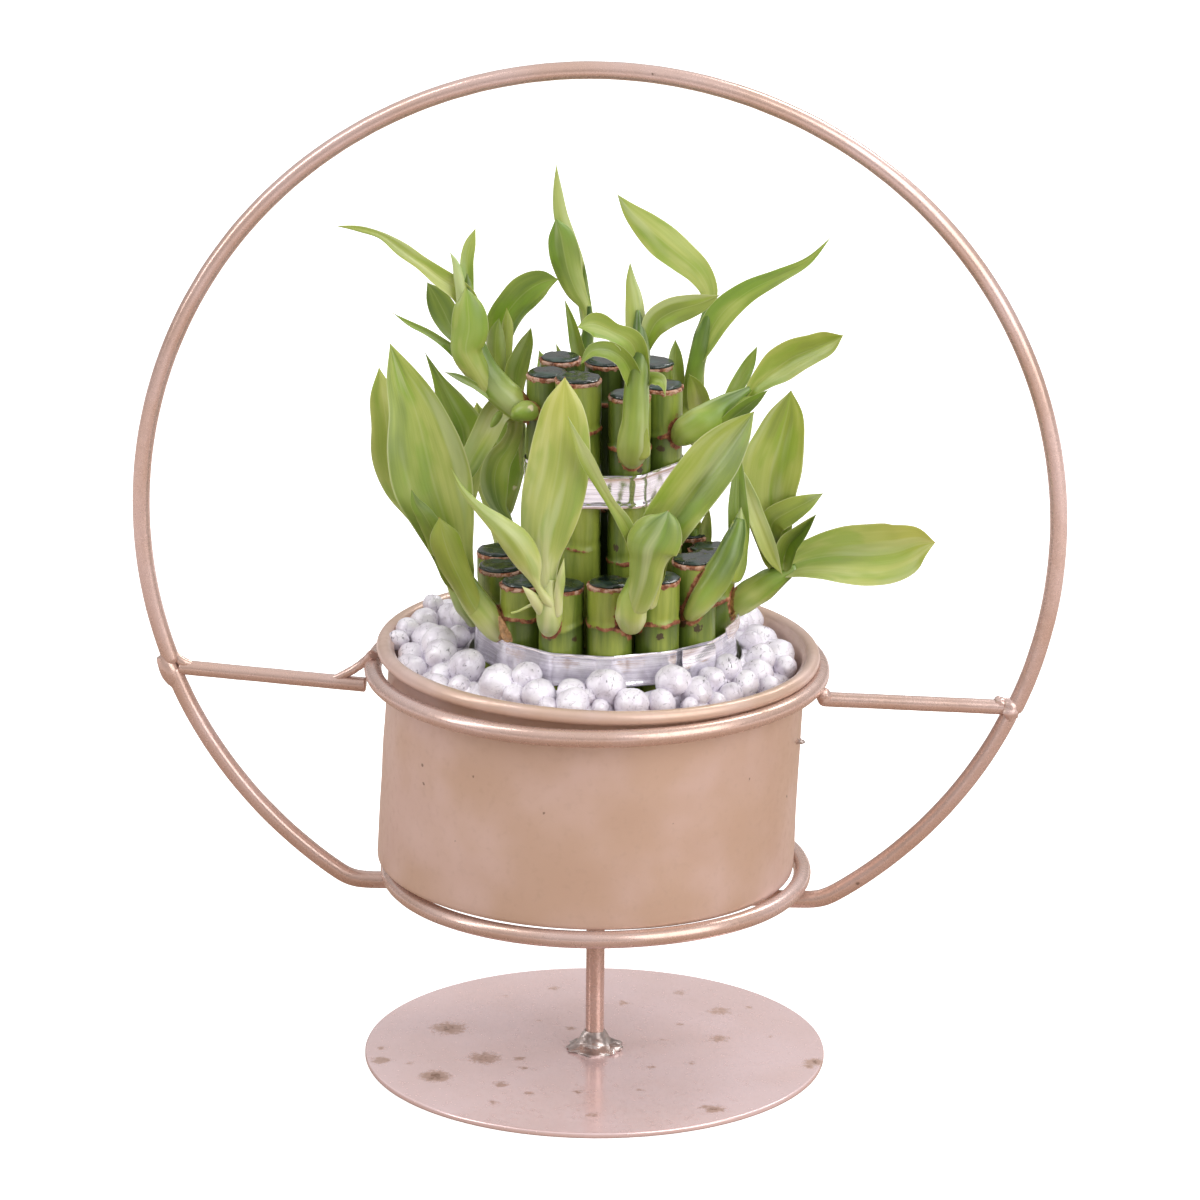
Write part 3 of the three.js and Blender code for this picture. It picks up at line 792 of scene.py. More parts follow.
@dataclass
class Finishes:
    """Every material of the object, made once."""

    stand: Material
    plate: Material
    pot: Material
    weld: Material
    bead: Material
    ribbon: Material
    dull_ribbon: Material
    cane: Material
    wax: Material
    leaf: Material

    @classmethod
    def mixed(cls) -> "Finishes":
        """Mixes all the finishes."""
        rod = PaintFinish("champagne_rod", "c9aa9b", "d2b7af", "8d6f60", 0.27, 0.5, coat=0.3)
        plate = PaintFinish("rose_plate", "ebd0cd", "f0d7d7", "d0b3ae", 0.2, 0.35, 0.003, True, 0.3)
        pot = PaintFinish("champagne_pot", "c9ab97", "d5bab0", "997c66", 0.36, 0.3, 0.09)
        return cls(
            stand=rod.material(),
            plate=plate.material(),
            pot=pot.material(),
            weld=WeldFinish().material(),
            bead=BeadFinish().material(),
            ribbon=RibbonFinish("silver_foil", 0.04, 0.94).material(),
            dull_ribbon=RibbonFinish("dull_silver_foil", 0.12, 0.8).material(),
            cane=CaneFinish().material(),
            wax=WaxFinish().material(),
            leaf=LeafFinish().material(),
        )


def put_piece(
    name: str, skins: Sequence[Skin], coats: Sequence[Material], node: str, crease: float = 50
) -> None:
    """Makes one piece out of closed skins and hangs it on the frame.

    Args:
        name: the piece's name.
        skins: closed skins in millimetres.
        coats: its materials, in the order of the skins' zones.
        node: the CAD node that it stands for.
        crease: edges sharper than this many degrees stay sharp.
    """
    whole = joined(skins)
    mesh = bpy.data.meshes.new(name)
    mesh.from_pydata(whole.points * MM, [], whole.quads.tolist() + whole.tris.tolist())
    zone = np.concatenate([whole.zone, whole.tri_zone])
    mesh.polygons.foreach_set("material_index", zone.astype(np.int32))
    mesh.polygons.foreach_set("use_smooth", np.ones(len(zone), bool))
    for title, mark in whole.marks.items():
        kind, key = ("FLOAT", "value") if mark.ndim == 1 else ("FLOAT_VECTOR", "vector")
        mesh.attributes.new(title, kind, "POINT").data.foreach_set(key, mark.astype(np.float32).ravel())
    for coat in coats:
        mesh.materials.append(coat)
    mesh.set_sharp_from_angle(angle=math.radians(crease))
    mesh.validate()
    piece = bpy.data.objects.new(name, mesh)
    bpy.context.scene.collection.objects.link(piece)
    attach(piece, "root")
    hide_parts(node)
    log.info("%s: %d faces, stands for %s", name, len(zone), node)


class Side(Enum):
    """The two sides of the stand, with the sign of X there."""

    LEFT = -1
    RIGHT = 1


@dataclass(frozen=True)
class LegSize:
    """A leg: the angle at which its arc starts, the arc's radius, and its level run's height."""

    start: float
    radius: float
    run: float


LEGS = {Side.LEFT: LegSize(201.4, 123.0, 48.4), Side.RIGHT: LegSize(-24.9, 122.0, 46.4)}
HOOP_KNOB = ((110.7, -0.7, 102.2), (2.5, 2.6, 3.1))  # place and half sizes, as for every lump
LEG_BURR = (  # rows of place and radius, as for every run of weld
    (-117.2, 0, 110.6, 1.9), (-115.9, 0.1, 107.9, 2.75), (-114.6, 0.1, 105.2, 2.8), (-113.0, 0, 102.2, 1.9),
)
LEFT_ARM = ((-112.6, 0, 107.5), (-61.9, -3, 104.9))
RIGHT_ARM = ((109.6, -0.2, 102.7), (60.9, -5.5, 105.3))
ARM_WEB = (
    (-71.0, -2.9, 106.2, 0.9), (-67, -3.2, 108.1, 1.15), (-62.6, -3.6, 111.2, 1.25),
    (-59.8, -5.4, 114.2, 1.5),
)
ARM_FIN = (
    (-113.6, -0.3, 111.0, 0.8), (-112, -0.5, 109.4, 1.3), (-109.6, -0.4, 108.4, 1.1),
    (-107, -0.3, 107.7, 0.6),
)
ARM_KNOT = ((61.2, -5.9, 106.2), (1.9, 2.4, 2.3))
ARM_TOE = ((108.2, -0.3, 104.0), (2.2, 1.9, 1.6))
STEM_CROWN = ((-2.4, -0.4, 44.6, 1.5), (0, -1.8, 44.2, 1.4), (2.6, -0.6, 44.8, 1.5))
FILLET = (  # radius, and height over the plate
    (2.3, 0), (7.2, 0), (7.4, 0.35), (6.2, 1.0), (4.9, 1.7), (3.9, 3.0), (3.2, 4.6), (2.7, 5.4), (2.4, 5.2),
)


@dataclass
class Stand:
    """The hoop stand: base plate, stem, hoop, two legs, two arms and two rings of round rod."""

    finishes: Finishes
    hoop_height: float = 152.0
    hoop_radius: float = 122.4
    hoop_ends: Row = (201.0, -24.5)
    rod: float = 4.7
    arm_rod: float = 4.0
    stem_rod: float = 5.0
    legs_meet: float = 47.4
    lower_ring: Row = (55.8, 53.4)
    upper_ring: Row = (60.0, 110.6)
    plate_radius: float = 62.5
    plate_thickness: float = 1.5

    def put_rod(self, name: str, node: str, *skins: Skin) -> None:
        """Puts a piece of painted rod in the place of a node."""
        put_piece(name, skins, [self.finishes.stand], node)

    def on_hoop(self, radius: float, angle: Array) -> Array:
        """Places on the hoop's circle: (r cos a, 0, height + r sin a), a in degrees."""
        a = np.radians(angle)
        return stacked(radius * np.cos(a), 0.0, self.hoop_height + radius * np.sin(a))

    def leg_path(self, side: Side) -> Array:
        """A leg's middle line: down the hoop's arc, bent level, and in to the stem."""
        size = LEGS[side]
        lowest = math.degrees(math.asin((size.run + 2.4 - self.hoop_height) / size.radius))
        end = lowest if side is Side.RIGHT else 180 - lowest
        bend = math.sqrt(size.radius**2 - (size.run - self.hoop_height) ** 2)
        down = self.on_hoop(size.radius, np.linspace(size.start, end, 9))
        bent_in = [(bend + 0.1, size.run + 0.6), (bend - 4, size.run), (bend - 12, size.run)]
        level = [(side.value * x, 0, z) for x, z in [*bent_in, (0.15, self.legs_meet)]]
        return through(np.vstack([down, level]), np.linspace(0, 1, 400))

    def ring(self, radius: float, height: float, seed: int) -> Skin:
        """A ring of rod: a circle carried round the Z axis, a little uneven."""
        angle, section = round_angles(220)[:, None], round_angles(20)[None, :]
        r = self.rod / 2
        out = radius + r * np.cos(section)
        points = stacked(out * np.sin(angle), -out * np.cos(angle), height + r * np.sin(section))
        points[..., 2] += 0.16 * ripple(points, 70, seed)
        return loop(points, {"flow": stacked(r * np.cos(section), r * np.sin(section), radius * angle)})

    def build_hoop(self) -> None:
        """The hoop above the arms, with the knob of its joint on the right."""
        angles = np.linspace(*self.hoop_ends, 500)
        hoop = cut_rod(self.on_hoop(self.hoop_radius, angles), self.rod, 1.9, 3, 260)
        self.put_rod("hoop_rod", "hoop_arc", hoop, weld_lump(*HOOP_KNOB, 4))

    def build_legs(self) -> None:
        """Both legs, the left one with a burr where it meets the hoop."""
        left, right = (cut_rod(self.leg_path(side), self.rod, 0.8, 7 + side.value, 170) for side in Side)
        self.put_rod("left_leg_rod", "left_leg", left, weld_run(LEG_BURR, 5))
        self.put_rod("right_leg_rod", "right_leg", right)

    def build_arms(self) -> None:
        """Both arms: level rods from the hoop to the upper ring, with their weld webs."""
        left = cut_rod(np.linspace(*LEFT_ARM, 60), self.arm_rod, 0.5, 11, 60)
        right = cut_rod(np.linspace(*RIGHT_ARM, 60), self.arm_rod, 0.5, 16, 60)
        self.put_rod("left_arm_rod", "left_arm", left, weld_run(ARM_WEB, 12), weld_run(ARM_FIN, 13))
        self.put_rod("right_arm_rod", "right_arm", right, weld_lump(*ARM_KNOT, 14), weld_lump(*ARM_TOE, 15))

    def build_rings(self) -> None:
        """The ring under the pot and the ring round it."""
        self.put_rod("lower_ring_rod", "lower_ring", self.ring(*self.lower_ring, 21))
        self.put_rod("upper_ring_rod", "upper_ring", self.ring(*self.upper_ring, 22))

    def build_stem(self) -> None:
        """The stem and the bead of weld round its foot."""
        path = np.linspace([0, 0, self.plate_thickness + 0.2], [0.1, 0, 45.0], 80)
        points, flow = swept(path, np.full(80, self.stem_rod / 2), 28, np.array([0.0, 1, 0]))
        points[..., :2] *= 1 + 0.012 * ripple(points * np.array([1, 1, 0.15]), 4, 31)[..., None]
        self.put_rod("stem_tube", "stem_rod", tube(points, {"flow": flow}), weld_run(STEM_CROWN, 32))
        foot = self.plate_thickness + 0.05
        profile = np.column_stack([np.array(FILLET) + np.array([0, foot]), np.zeros(len(FILLET))])
        fillet = turned(through(profile, np.linspace(0, 1, 30))[:, :2], 60)
        push = 0.13 * ripple(fillet * np.array([1, 1, 0.7]), 5, 33) + 0.06 * ripple(fillet, 1.8, 34)
        fillet[..., :2] *= 1 + push[..., None]
        knob = weld_lump((5.2, -1.6, foot + 0.9), (2.6, 1.8, 1.1), 35)
        put_piece("stem_weld_bead", [loop(fillet), knob], [self.finishes.weld], "stem_weld")

    def build_plate(self) -> None:
        """The base plate: a thin disc with softened edges, and the rust marks on its top.

        A rust mark is the greatest of the spots' strengths times 1.25 - 0.8 distance / size,
        kept between 0 and 1.
        """
        r, t = self.plate_radius, self.plate_thickness
        top = np.column_stack([np.linspace(r - 0.6, 0.5, 150), np.full(150, t)])
        edge = [(r - 0.5, 0), (r - 0.12, 0.12), (r, 0.45), (r, t - 0.4), (r - 0.12, t - 0.1), (r - 0.35, t)]
        profile = np.vstack([[(0.5, 0), (r * 0.5, 0)], edge, top])
        points = turned(profile, 400)
        above = points[..., 2] > 0.2
        points[..., 2] += 0.12 * ripple(points, 90, 41) * above * clamped(1 - profile[:, :1] / r)
        rust = np.zeros(points.shape[:2])
        for x, y, size, strength in RUST_SPOTS:
            away = np.hypot(points[..., 0] - x, points[..., 1] - y) / size
            rust = np.maximum(rust, strength * clamped(1.25 - 0.8 * away))
        rust *= points[..., 2] > 0.3
        disc = tube(points, {"rust": rust})
        put_piece("plate_disc", [disc], [self.finishes.plate], "base_plate", 60)

    def build(self) -> None:
        """Builds the whole stand."""
        self.build_plate()
        self.build_stem()
        self.build_hoop()
        self.build_legs()
        self.build_arms()
        self.build_rings()


@dataclass
class Pot:
    """The pot of thin sheet metal with a rolled rim. It leans a little and its wall is skewed."""

    finishes: Finishes
    radius: float = 55.7
    foot: float = 56.2
    wall: float = 1.0
    floor: float = 1.2
    height: float = 59.7
    bead: float = 1.75
    place: Row = (-1.2, 0.0, 56.1)
    lean: float = 1.5
    skew: float = 0.028

    def profile(self) -> Array:
        """Radius and height from the outer floor up the wall, over the rolled rim and down inside."""
        r, f = self.radius, self.foot
        foot = [(0.4, 0), (30, 0), (f - 1.2, 0), (f - 0.5, 0.15), (f - 0.1, 0.6), (f, 1.3)]
        outer = np.linspace((f, 1.3), (r, self.height - 2.0), 30)[1:]
        roll = arc(self.bead + 0.2, -128, 168, 26) + np.array([r + self.bead, self.height - 0.2])
        inner = np.linspace((r - self.wall, self.height - 0.4), (r - self.wall, self.floor + 0.6), 12)
        return np.vstack([foot, outer, roll, inner, [(r - 2, self.floor), (0.4, self.floor)]])

    def placed(self, points: Array) -> Array:
        """Points of the upright pot, skewed by x += skew (z - height), leaned and moved home."""
        x, y, z = np.moveaxis(points, -1, 0)
        x = x + self.skew * (z - self.height)
        c, s = math.cos(math.radians(self.lean)), math.sin(math.radians(self.lean))
        return stacked(x * c + z * s, y, -x * s + z * c) + np.array(self.place)

    def build(self) -> None:
        """Builds the pot, with shallow dents in its wall and a burr on its right side."""
        points = turned(self.profile(), 220)
        heights = points[..., 2]
        on_wall = clamped(heights / 8) * clamped((self.height - heights) / 5)
        dent = 0.28 * ripple(points, 46, 51) + 0.1 * ripple(points, 19, 52)
        points[..., :2] *= 1 + (dent * on_wall / self.radius)[..., None]
        sway = ripple(points * np.array([1, 1, 0]), 80, 53)
        points[..., 2] += 0.22 * sway * clamped(heights / self.height) ** 3
        burr = weld_lump((55.0, -8.5, 94.2), (1.3, 1.0, 0.7), 54).painted(1)
        coats = [self.finishes.pot, self.finishes.weld]
        put_piece("pot_shell", [tube(self.placed(points)), burr], coats, "pot", 60)


@dataclass
class BeadHeap:
    """White balls heaped between the pot's wall and the lower ribbon, two layers on a core."""

    finishes: Finishes
    centre: float = -1.3
    hole: float = 2.2
    inner: float = 36.7
    outer: float = 54.2
    free: int = 40
    rounds: int = 160
    buried: int = 190
    overlap: float = 0.9
    most_crowded: float = 0.2
    crest: float = 118.0
    crest_reach: float = 41.0
    slope: float = 0.62

    def surface(self, reach: Array) -> Array:
        """Height of the top balls' middles: crest - slope (reach - crest_reach)."""
        return self.crest - (reach - self.crest_reach) * self.slope

    def strewn(self, angle: Array, reach: Array, depth: Any, size: Array) -> Array:
        """Rows of x, y, z and radius: balls so far out from the pot's middle, sunk by depth."""
        x, y = self.centre + reach * np.sin(angle), -reach * np.cos(angle)
        return np.column_stack([x, y, self.surface(reach) - depth, size])

    def settled(self) -> Array:
        """Places and radii of the top balls.

        Free balls start at seeded places. In each round every pair that is nearer than
        0.9 of the sum of its radii is pushed apart, and all are held inside the ring.

        Returns:
            Rows of x, y, z and radius.
        """
        rng = np.random.default_rng(12)
        seen = np.array(SEEN_BEADS)
        angle = rng.uniform(0, TURN, self.free)
        size = rng.uniform(3.7, 4.9, self.free)
        reach = rng.uniform(self.inner + size, self.outer - size)
        balls = np.vstack([seen, self.strewn(angle, reach, 0, size)])
        loose = np.arange(len(balls)) >= len(seen)
        moves = np.where(loose, 1, 1e-6)
        sums = balls[:, None, 3] + balls[None, :, 3]
        for _ in range(self.rounds):
            gap = balls[:, None, :3] - balls[None, :, :3]
            gap[..., 2] *= 0.4
            far = np.linalg.norm(gap, axis=-1) + np.eye(len(balls)) * 99
            over = np.maximum(self.overlap * sums - far, 0)
            yielded = moves[:, None] / (moves[:, None] + moves[None, :])
            push = (gap / far[..., None] * (over * yielded)[..., None]).sum(axis=1)
            balls[:, :2] += 0.5 * push[:, :2] * loose[:, None]
            free = balls[len(seen) :]
            low, high = self.inner + free[:, 3], self.outer - free[:, 3]
            for middle, least, most in ((self.hole, low, 99), (self.centre, 0, high)):
                x, y = free[:, 0] - middle, free[:, 1]
                reach = np.hypot(x, y)
                held = np.clip(reach, least, most)
                free[:, 0], free[:, 1] = middle + x * held / reach, y * held / reach
            free[:, 2] = self.surface(np.hypot(free[:, 0] - self.centre, free[:, 1]))
        crowd = (over / sums).max(axis=1)
        return balls[~loose | (crowd < self.most_crowded)]

    def under_layer(self) -> Array:
        """Places and radii of the balls below the top ones, at golden angles and seeded depths."""
        rng = np.random.default_rng(5)
        size = rng.uniform(2.9, 4.1, self.buried)
        reach = self.inner + size + rng.uniform(0, 1, self.buried) * (self.outer - self.inner - 2 * size)
        depth = rng.uniform(3.6, 6, self.buried)
        return self.strewn(np.arange(self.buried) * GOLDEN_ANGLE, reach, depth, size)

    def balls(self, rows: Array, rings: int, sides: int, seed: int) -> Skin:
        """All the balls as one skin: spheres, each stretched by three seeded factors and made lumpy."""
        rng = np.random.default_rng(seed)
        n = len(rows)
        ball = ball_grid(np.linspace(0, 180, rings + 2)[1:-1], sides).reshape(-1, 3)
        ball = np.vstack([ball, [(0, 0, 1), (0, 0, -1)]])
        stretch = rng.uniform(0.92, 1.08, (n, 1, 3))
        spin = np.linalg.qr(rng.normal(size=(n, 3, 3)))[0]
        spin *= np.sign(np.linalg.det(spin))[:, None, None]
        points = np.einsum("nij,nkj->nki", spin, ball[None] * stretch)
        grain = points * 4 + rng.uniform(-50, 50, (n, 1, 3))
        lump = 1 + 0.065 * ripple(grain, 5, seed) + 0.03 * ripple(grain, 2, seed + 1)
        points = points * lump[..., None] * rows[:, None, 3:4] + rows[:, None, :3]
        count = len(ball)
        shift = (np.arange(n) * count)[:, None, None]
        quads = grid_quads(rings, sides, False)[None] + shift
        tris = end_fans(rings, sides, count - 2, count - 1)[None] + shift
        return Skin(points.reshape(-1, 3), quads.reshape(-1, 4), tris.reshape(-1, 3))

    def core(self) -> Skin:
        """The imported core: a ring whose hole is off its centre, with a bumpy top."""
        low, high = self.inner - 0.1, self.outer - 0.7
        base = [(low, 59.4), (high - 0.5, 59.4), (high, 62), (high, 104.2), (high - 1, 105.0)]
        profile = np.array([*base, (low + 8, 109.7), (low + 1, 115.8), (low, 115.6)])
        core = turned(profile, 110)
        core[..., 0] += np.interp(profile[:, 0], (low + 1, high - 1), (self.hole, self.centre))[:, None]
        core[..., 2] += 0.6 * ripple(core, 9, 61) * (core[..., 2] > 100)
        return loop(core)

    def build(self) -> None:
        """Builds the top balls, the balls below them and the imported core."""
        top, under = self.balls(self.settled(), 12, 20, 62), self.balls(self.under_layer(), 7, 12, 63)
        put_piece("bead_heap", [top, under, self.core()], [self.finishes.bead], "bead_bed", 70)


@dataclass(frozen=True)
class Tier:
    """A ring of canes: their places, radii, the heights of their tops and nodes.

    deep is how dark each cane's green is. A spot is a cane's number, the angle and height
    of a growth mark on it, and its size.
    """

    name: str
    ring: float
    first: float
    tops: Row
    radii: Row
    nodes: Row
    deep: Row
    centre: float
    spots: tuple[Row, ...]
    first_seed: int

    def places(self) -> Array:
        """The canes' places: (centre + r sin a, -r cos a), at equal angles from the first one."""
        angle = np.radians(self.first + 360 * np.arange(len(self.tops)) / len(self.tops))
        return stacked(self.centre + self.ring * np.sin(angle), -self.ring * np.cos(angle))


LOWER = Tier(
    name="lower",
    ring=29.0,
    first=6.0,
    tops=(143.6, 143.9, 146.5, 144, 142, 143, 141.5, 142.5, 141, 142.5, 141.6, 141.2, 140.4, 142),
    radii=(6.0,) * 14,
    nodes=(133, 132, 134, 133, 131, 132, 133, 131, 132, 133, 131.5, 132, 131, 132),
    deep=(0.3, 0.36, 0.34, 0.4, 0.42, 0.45, 0.4, 0.42, 0.46, 0.4, 0.45, 0.4, 0.3, 0.36),
    centre=2.2,
    spots=(
        (2, 12, 129.4, 1.0), (3, -24, 130.1, 1.0), (3, 13, 129.2, 1.1), (3, -6, 136.5, 0.8),
        (1, 32, 133.2, 0.6), (14, 42, 128.5, 0.8),
    ),
    first_seed=100,
)
UPPER = Tier(
    name="upper",
    ring=15.5,
    first=28.5,
    tops=(190.6, 190.4, 192.8, 191.6, 194, 193.4, 195),
    radii=(5.7, 5.6, 5.7, 5.9, 5.6, 5.7, 6.2),
    nodes=(176.5, 178, 178, 181, 182, 183, 182),
    deep=(0.36, 0.4, 0.45, 0.42, 0.4, 0.42, 0.34),
    centre=1.7,
    spots=(
        (1, -34, 149.8, 0.9), (1, 35, 171.4, 0.8), (7, 38, 136.5, 1.0), (7, -46, 184.5, 0.5),
        (2, 0, 174.6, 1.0),
    ),
    first_seed=140,
)


@dataclass
class Canes:
    """The cut canes of both tiers, each sealed with wax, and scarred round the feet of shoots."""

    finishes: Finishes
    feet: Array
    foot: float = 58.7
    sides: int = 48
    swell: float = 0.3
    swell_width: float = 0.55
    neck: float = 0.2
    bark_over: float = 0.3
    scar_reach: float = 0.9

    def levels(self, cut: float, nodes: Array, spots: Sequence[Row]) -> Array:
        """Heights of a cane's rows, close together at its nodes, its spots and its cut."""
        near = (nodes[:, None] + np.array([-2.2, -1.3, -0.8, -0.4, 0, 0.4, 0.8, 1.3, 2.2, 3.2])).ravel()
        at_spots = [height + d for _, _, height, _ in spots for d in (-1.2, -0.6, 0, 0.6, 1.2)]
        plain = np.linspace(self.foot, cut - 0.9, 40)
        rows = np.concatenate([plain, near, cut - np.array([2.2, 1.7, 1.3]), at_spots])
        rows = np.unique(np.round(rows[(rows > self.foot + 0.3) & (rows < cut - 0.8)], 2))
        return np.concatenate([[self.foot, self.foot + 0.1], rows])

    def foot_scar(self, side: Array, z: Array) -> Array:
        """Scar round a shoot's foot: 1.35 less the gap to the nearest one over scar_reach."""
        skin_at = stacked(side[:, 0], side[:, 1], z)
        away = np.linalg.norm(skin_at[:, :, None] - self.feet[:, :3], axis=-1)
        return clamped(1.35 - np.min(away - self.feet[:, 3], axis=-1) / self.scar_reach)

    def cane(self, tier: Tier, index: int) -> Skin:
        """One cane.

        Its radius swells by about swell exp(-(d / swell_width)^2) at a node and draws in by
        neck above it, where d is the height over the node's tilted, wavy ring. The bark's edge
        rolls over the cut, and inside it a low dome of wax with a ragged outline closes the top.

        Args:
            tier: the tier that the cane stands in.
            index: its number there, from 0.

        Returns:
            The closed skin, with finish 0 for the cane and 1 for the wax.
        """
        seed = tier.first_seed + index
        rng = np.random.default_rng(seed)
        place, radius, cut = tier.places()[index], tier.radii[index], tier.tops[index] - self.bark_over
        node = tier.nodes[index]
        spots = [spot for spot in tier.spots if spot[0] == index + 1]
        nodes = np.array([node, node - rng.uniform(26, 34), node - rng.uniform(56, 64)])
        levels = self.levels(cut, nodes, spots)
        angle = round_angles(self.sides)
        c, s = np.cos(angle), np.sin(angle)
        z = levels[:, None] + 0 * angle
        ring_place = stacked(3 * c, 3 * s, seed * 7.7)
        wave = 0.7 * np.sin(angle - rng.uniform(0, 6.28)) + 0.45 * ripple(ring_place, 3.2, seed)
        r = radius * np.ones_like(z) * 0.985
        scar, below = np.zeros_like(z), np.zeros_like(z)
        for height in nodes:
            d = z - height - wave
            strong = np.clip(0.85 + 0.75 * ripple(ring_place, 4.5, seed + int(height)), 0.15, 1.5)
            r += self.swell * strong * bell(d, self.swell_width) - self.neck * bell(d - 1.5, 1.0)
            scar = np.maximum(scar, strong * bell(d, np.where(d > 0, 0.5, 0.85)))
            below = np.maximum(below, clamped(-d / 0.6) * np.exp(np.minimum(d, 0) / 6))
        jag = ripple(ring_place * 2, 2.6, seed + 50)
        wax_reach = rng.uniform(0.86, 1.02)
        bark_edge = [(1.0, -0.6), (1.012, -0.35), (1.0, -0.1), (0.965, 0.02)]
        wax_edge = [(-0.03, 0.03), (0, 0.1), (0.02, 0.4), (-0.02, 0.68), (-0.12, 0.86)]
        dome = [(0.62, 0.93), (0.38, 0.9), (0.15, 0.84)]
        caps = np.array(bark_edge + [(wax_reach + out, up) for out, up in wax_edge] + dome)
        wax = (np.arange(len(caps)) >= len(bark_edge))[:, None]
        cap_z = cut + caps[:, 1:] + 0.2 * jag * ~wax
        uneven_cut = 0.035 * jag * (wax & (caps[:, :1] > 0.7)) + 0.02 * jag * ~wax
        cap_r = radius * caps[:, :1] * (1 + uneven_cut)
        # Painted shade in the deep mark: darker on the side that faces the tier's middle, where neighbouring
        # canes shade it, and darker green just below the top node.
        outward = np.arctan2(place[0], -place[1]) if np.hypot(*place) > 1 else 0.0
        turned_in = 0.5 - 0.5 * np.cos(angle - outward)
        shade = 0.5 * turned_in**1.2 + 0.34 * below * (nodes[0] - 12 < z)
        rim = clamped(1.3 - (cut - z - 0.35 * jag) / 1.25)
        spot = np.zeros_like(z)
        for _, turn, height, size in spots:
            round_it = np.remainder(angle - math.radians(turn) + math.pi, TURN) - math.pi
            spot = np.maximum(spot, clamped(1.5 - np.hypot(round_it * radius, z - height) / size))
        scar = np.maximum(scar, np.maximum(rim, self.foot_scar(place + stacked(radius * s, -radius * c), z)))
        z_all, r_all = np.vstack([z, cap_z]), np.vstack([r, cap_r])
        r_bent = r_all * (1 + 0.016 * ripple(stacked(3 * c, 3 * s, z_all * 0.2 + seed), 5, seed + 90))
        x, y = place[0] + r_bent * s, place[1] - r_bent * c
        dish = 0.22 * ripple(stacked(x, y, seed), 4.0, seed + 120) * (z_all > cut + 0.5)
        on_caps = np.ones_like(cap_r)
        marks = {
            "flow": stacked(r_all * c + seed * 13.1, r_all * s, z_all),
            "scar": np.vstack([scar, on_caps]),
            "deep": np.vstack([clamped(tier.deep[index] + shade), on_caps]),
            "spot": np.vstack([spot, 0 * on_caps]),
            "rim": np.vstack([rim, on_caps]),
        }
        zone = (np.arange(len(z_all) - 1) >= len(levels) + len(bark_edge)).astype(int)
        return tube(stacked(x, y, z_all + dish), marks, zone)

    def build(self, tiers: Sequence[Tier]) -> None:
        """Builds every cane of every tier under the name of its node."""
        coats = [self.finishes.cane, self.finishes.wax]
        for tier in tiers:
            for i in range(len(tier.tops)):
                node = f"{tier.name}_cane_{i + 1:02d}"
                put_piece(f"{node}_stalk", [self.cane(tier, i)], coats, node, 60)


@dataclass
class Ribbon:
    """A silver foil ribbon pulled tight round a tier of canes."""

    finishes: Finishes
    tier: Tier
    bottom: float
    seed: int
    height: float = 9.0
    tab: bool = False

    def outline(self) -> Array:
        """The taut line round the canes, at equal steps.

        For each direction it is the farthest cane's middle plus that cane's radius in that
        direction, with straight spans between canes.
        """
        angle = round_angles(720)
        way = stacked(np.cos(angle), np.sin(angle))
        places, radii = self.tier.places(), np.array(self.tier.radii)
        far = np.argmax(way @ places.T + radii, axis=1)
        line = places[far] + radii[far][:, None] * way
        line = np.vstack([line, line[:1]])
        length = lengths(line)
        where = np.linspace(0, length[-1], 361)[:-1]
        return np.stack([np.interp(where, length, line[:, k]) for k in (0, 1)], -1)

    def section(self) -> tuple[Array, Array]:
        """Offsets and heights round the foil's section: ridged edges outside, flat inside."""
        h = np.array([0, 0.25, 0.7, 1.15, 1.5, 2.6, 4.5, 6.4, 7.5, 7.9, 8.3, 8.75, 9.0]) / 9 * self.height
        hems = bell(h - 0.7, 0.5) + bell(h - 8.3, 0.5)
        outer = 0.5 + 0.24 * hems + 0.06 * np.cos(h * 2)
        return np.concatenate([outer, np.full(len(h), 0.3)]), np.concatenate([h, h[::-1]])

    def build(self, name: str, node: str) -> None:
        """Builds the ribbon, a little wavy, and its loose end where it has one."""
        line = self.outline()
        out = unit(stacked(np.gradient(line[:, 1]), -np.gradient(line[:, 0])))
        out[0], out[-1] = out[1], out[-2]
        out *= np.sign((out * (line - line.mean(axis=0))).sum(axis=1).mean())
        offset, height = self.section()
        flat = line[:, None] + out[:, None] * offset[None, :, None]
        place = stacked(flat[..., 0], flat[..., 1], height[None, :])
        crinkle = 0.16 * ripple(place * np.array([1, 1, 0.4]), 11, self.seed)
        crinkle += 0.07 * ripple(place, 4, self.seed + 1)
        place[..., :2] += out[:, None] * np.maximum(crinkle, -0.15)[..., None]
        place[..., 2] += self.bottom + 0.35 * ripple(place * np.array([1, 1, 0]), 60, self.seed + 2)
        skins = [loop(place), *(self.loose_end() if self.tab else [])]
        foil = self.finishes.dull_ribbon if self.tab else self.finishes.ribbon
        put_piece(name, skins, [foil], node, 40)

    def loose_end(self) -> list[Skin]:
        """The free end and a folded corner: strips that follow the band and stand off it."""
        free_end = [(24.3, -28.6, 0.1), (27.4, -26.4, 0.0), (30.1, -23.8, -0.1), (32.3, -21.3, -0.2)]
        corner = [(35.6, -13.6, 7.6), (36.9, -11.8, 8.4), (37.9, -9.8, 9.2), (38.3, -7.6, 10.2)]
        skins = []
        for rows, tall, half in ((free_end, 8.9, 0.16), (corner, 3.4, 0.2)):
            path = through(rows, np.linspace(0, 1, 20))
            path[:, 2] += self.bottom
            _, side, up = frames(path, np.array([0, 0, 1.0]))
            h = np.concatenate([np.linspace(0, tall, 9), np.linspace(tall, 0, 9)])
            bulge = 0.35 * (1 - (2 * h / tall - 1) ** 2) * (tall > 5)
            thick = np.repeat([half, -half], 9) + bulge
            points = path[:, None] + up[:, None] * h[None, :, None] + side[:, None] * thick[None, :, None]
            skins.append(tube(points + (0.2 * ripple(points, 5, 77))[..., None] * side[:, None]))
        return skins


# ---------- foliage


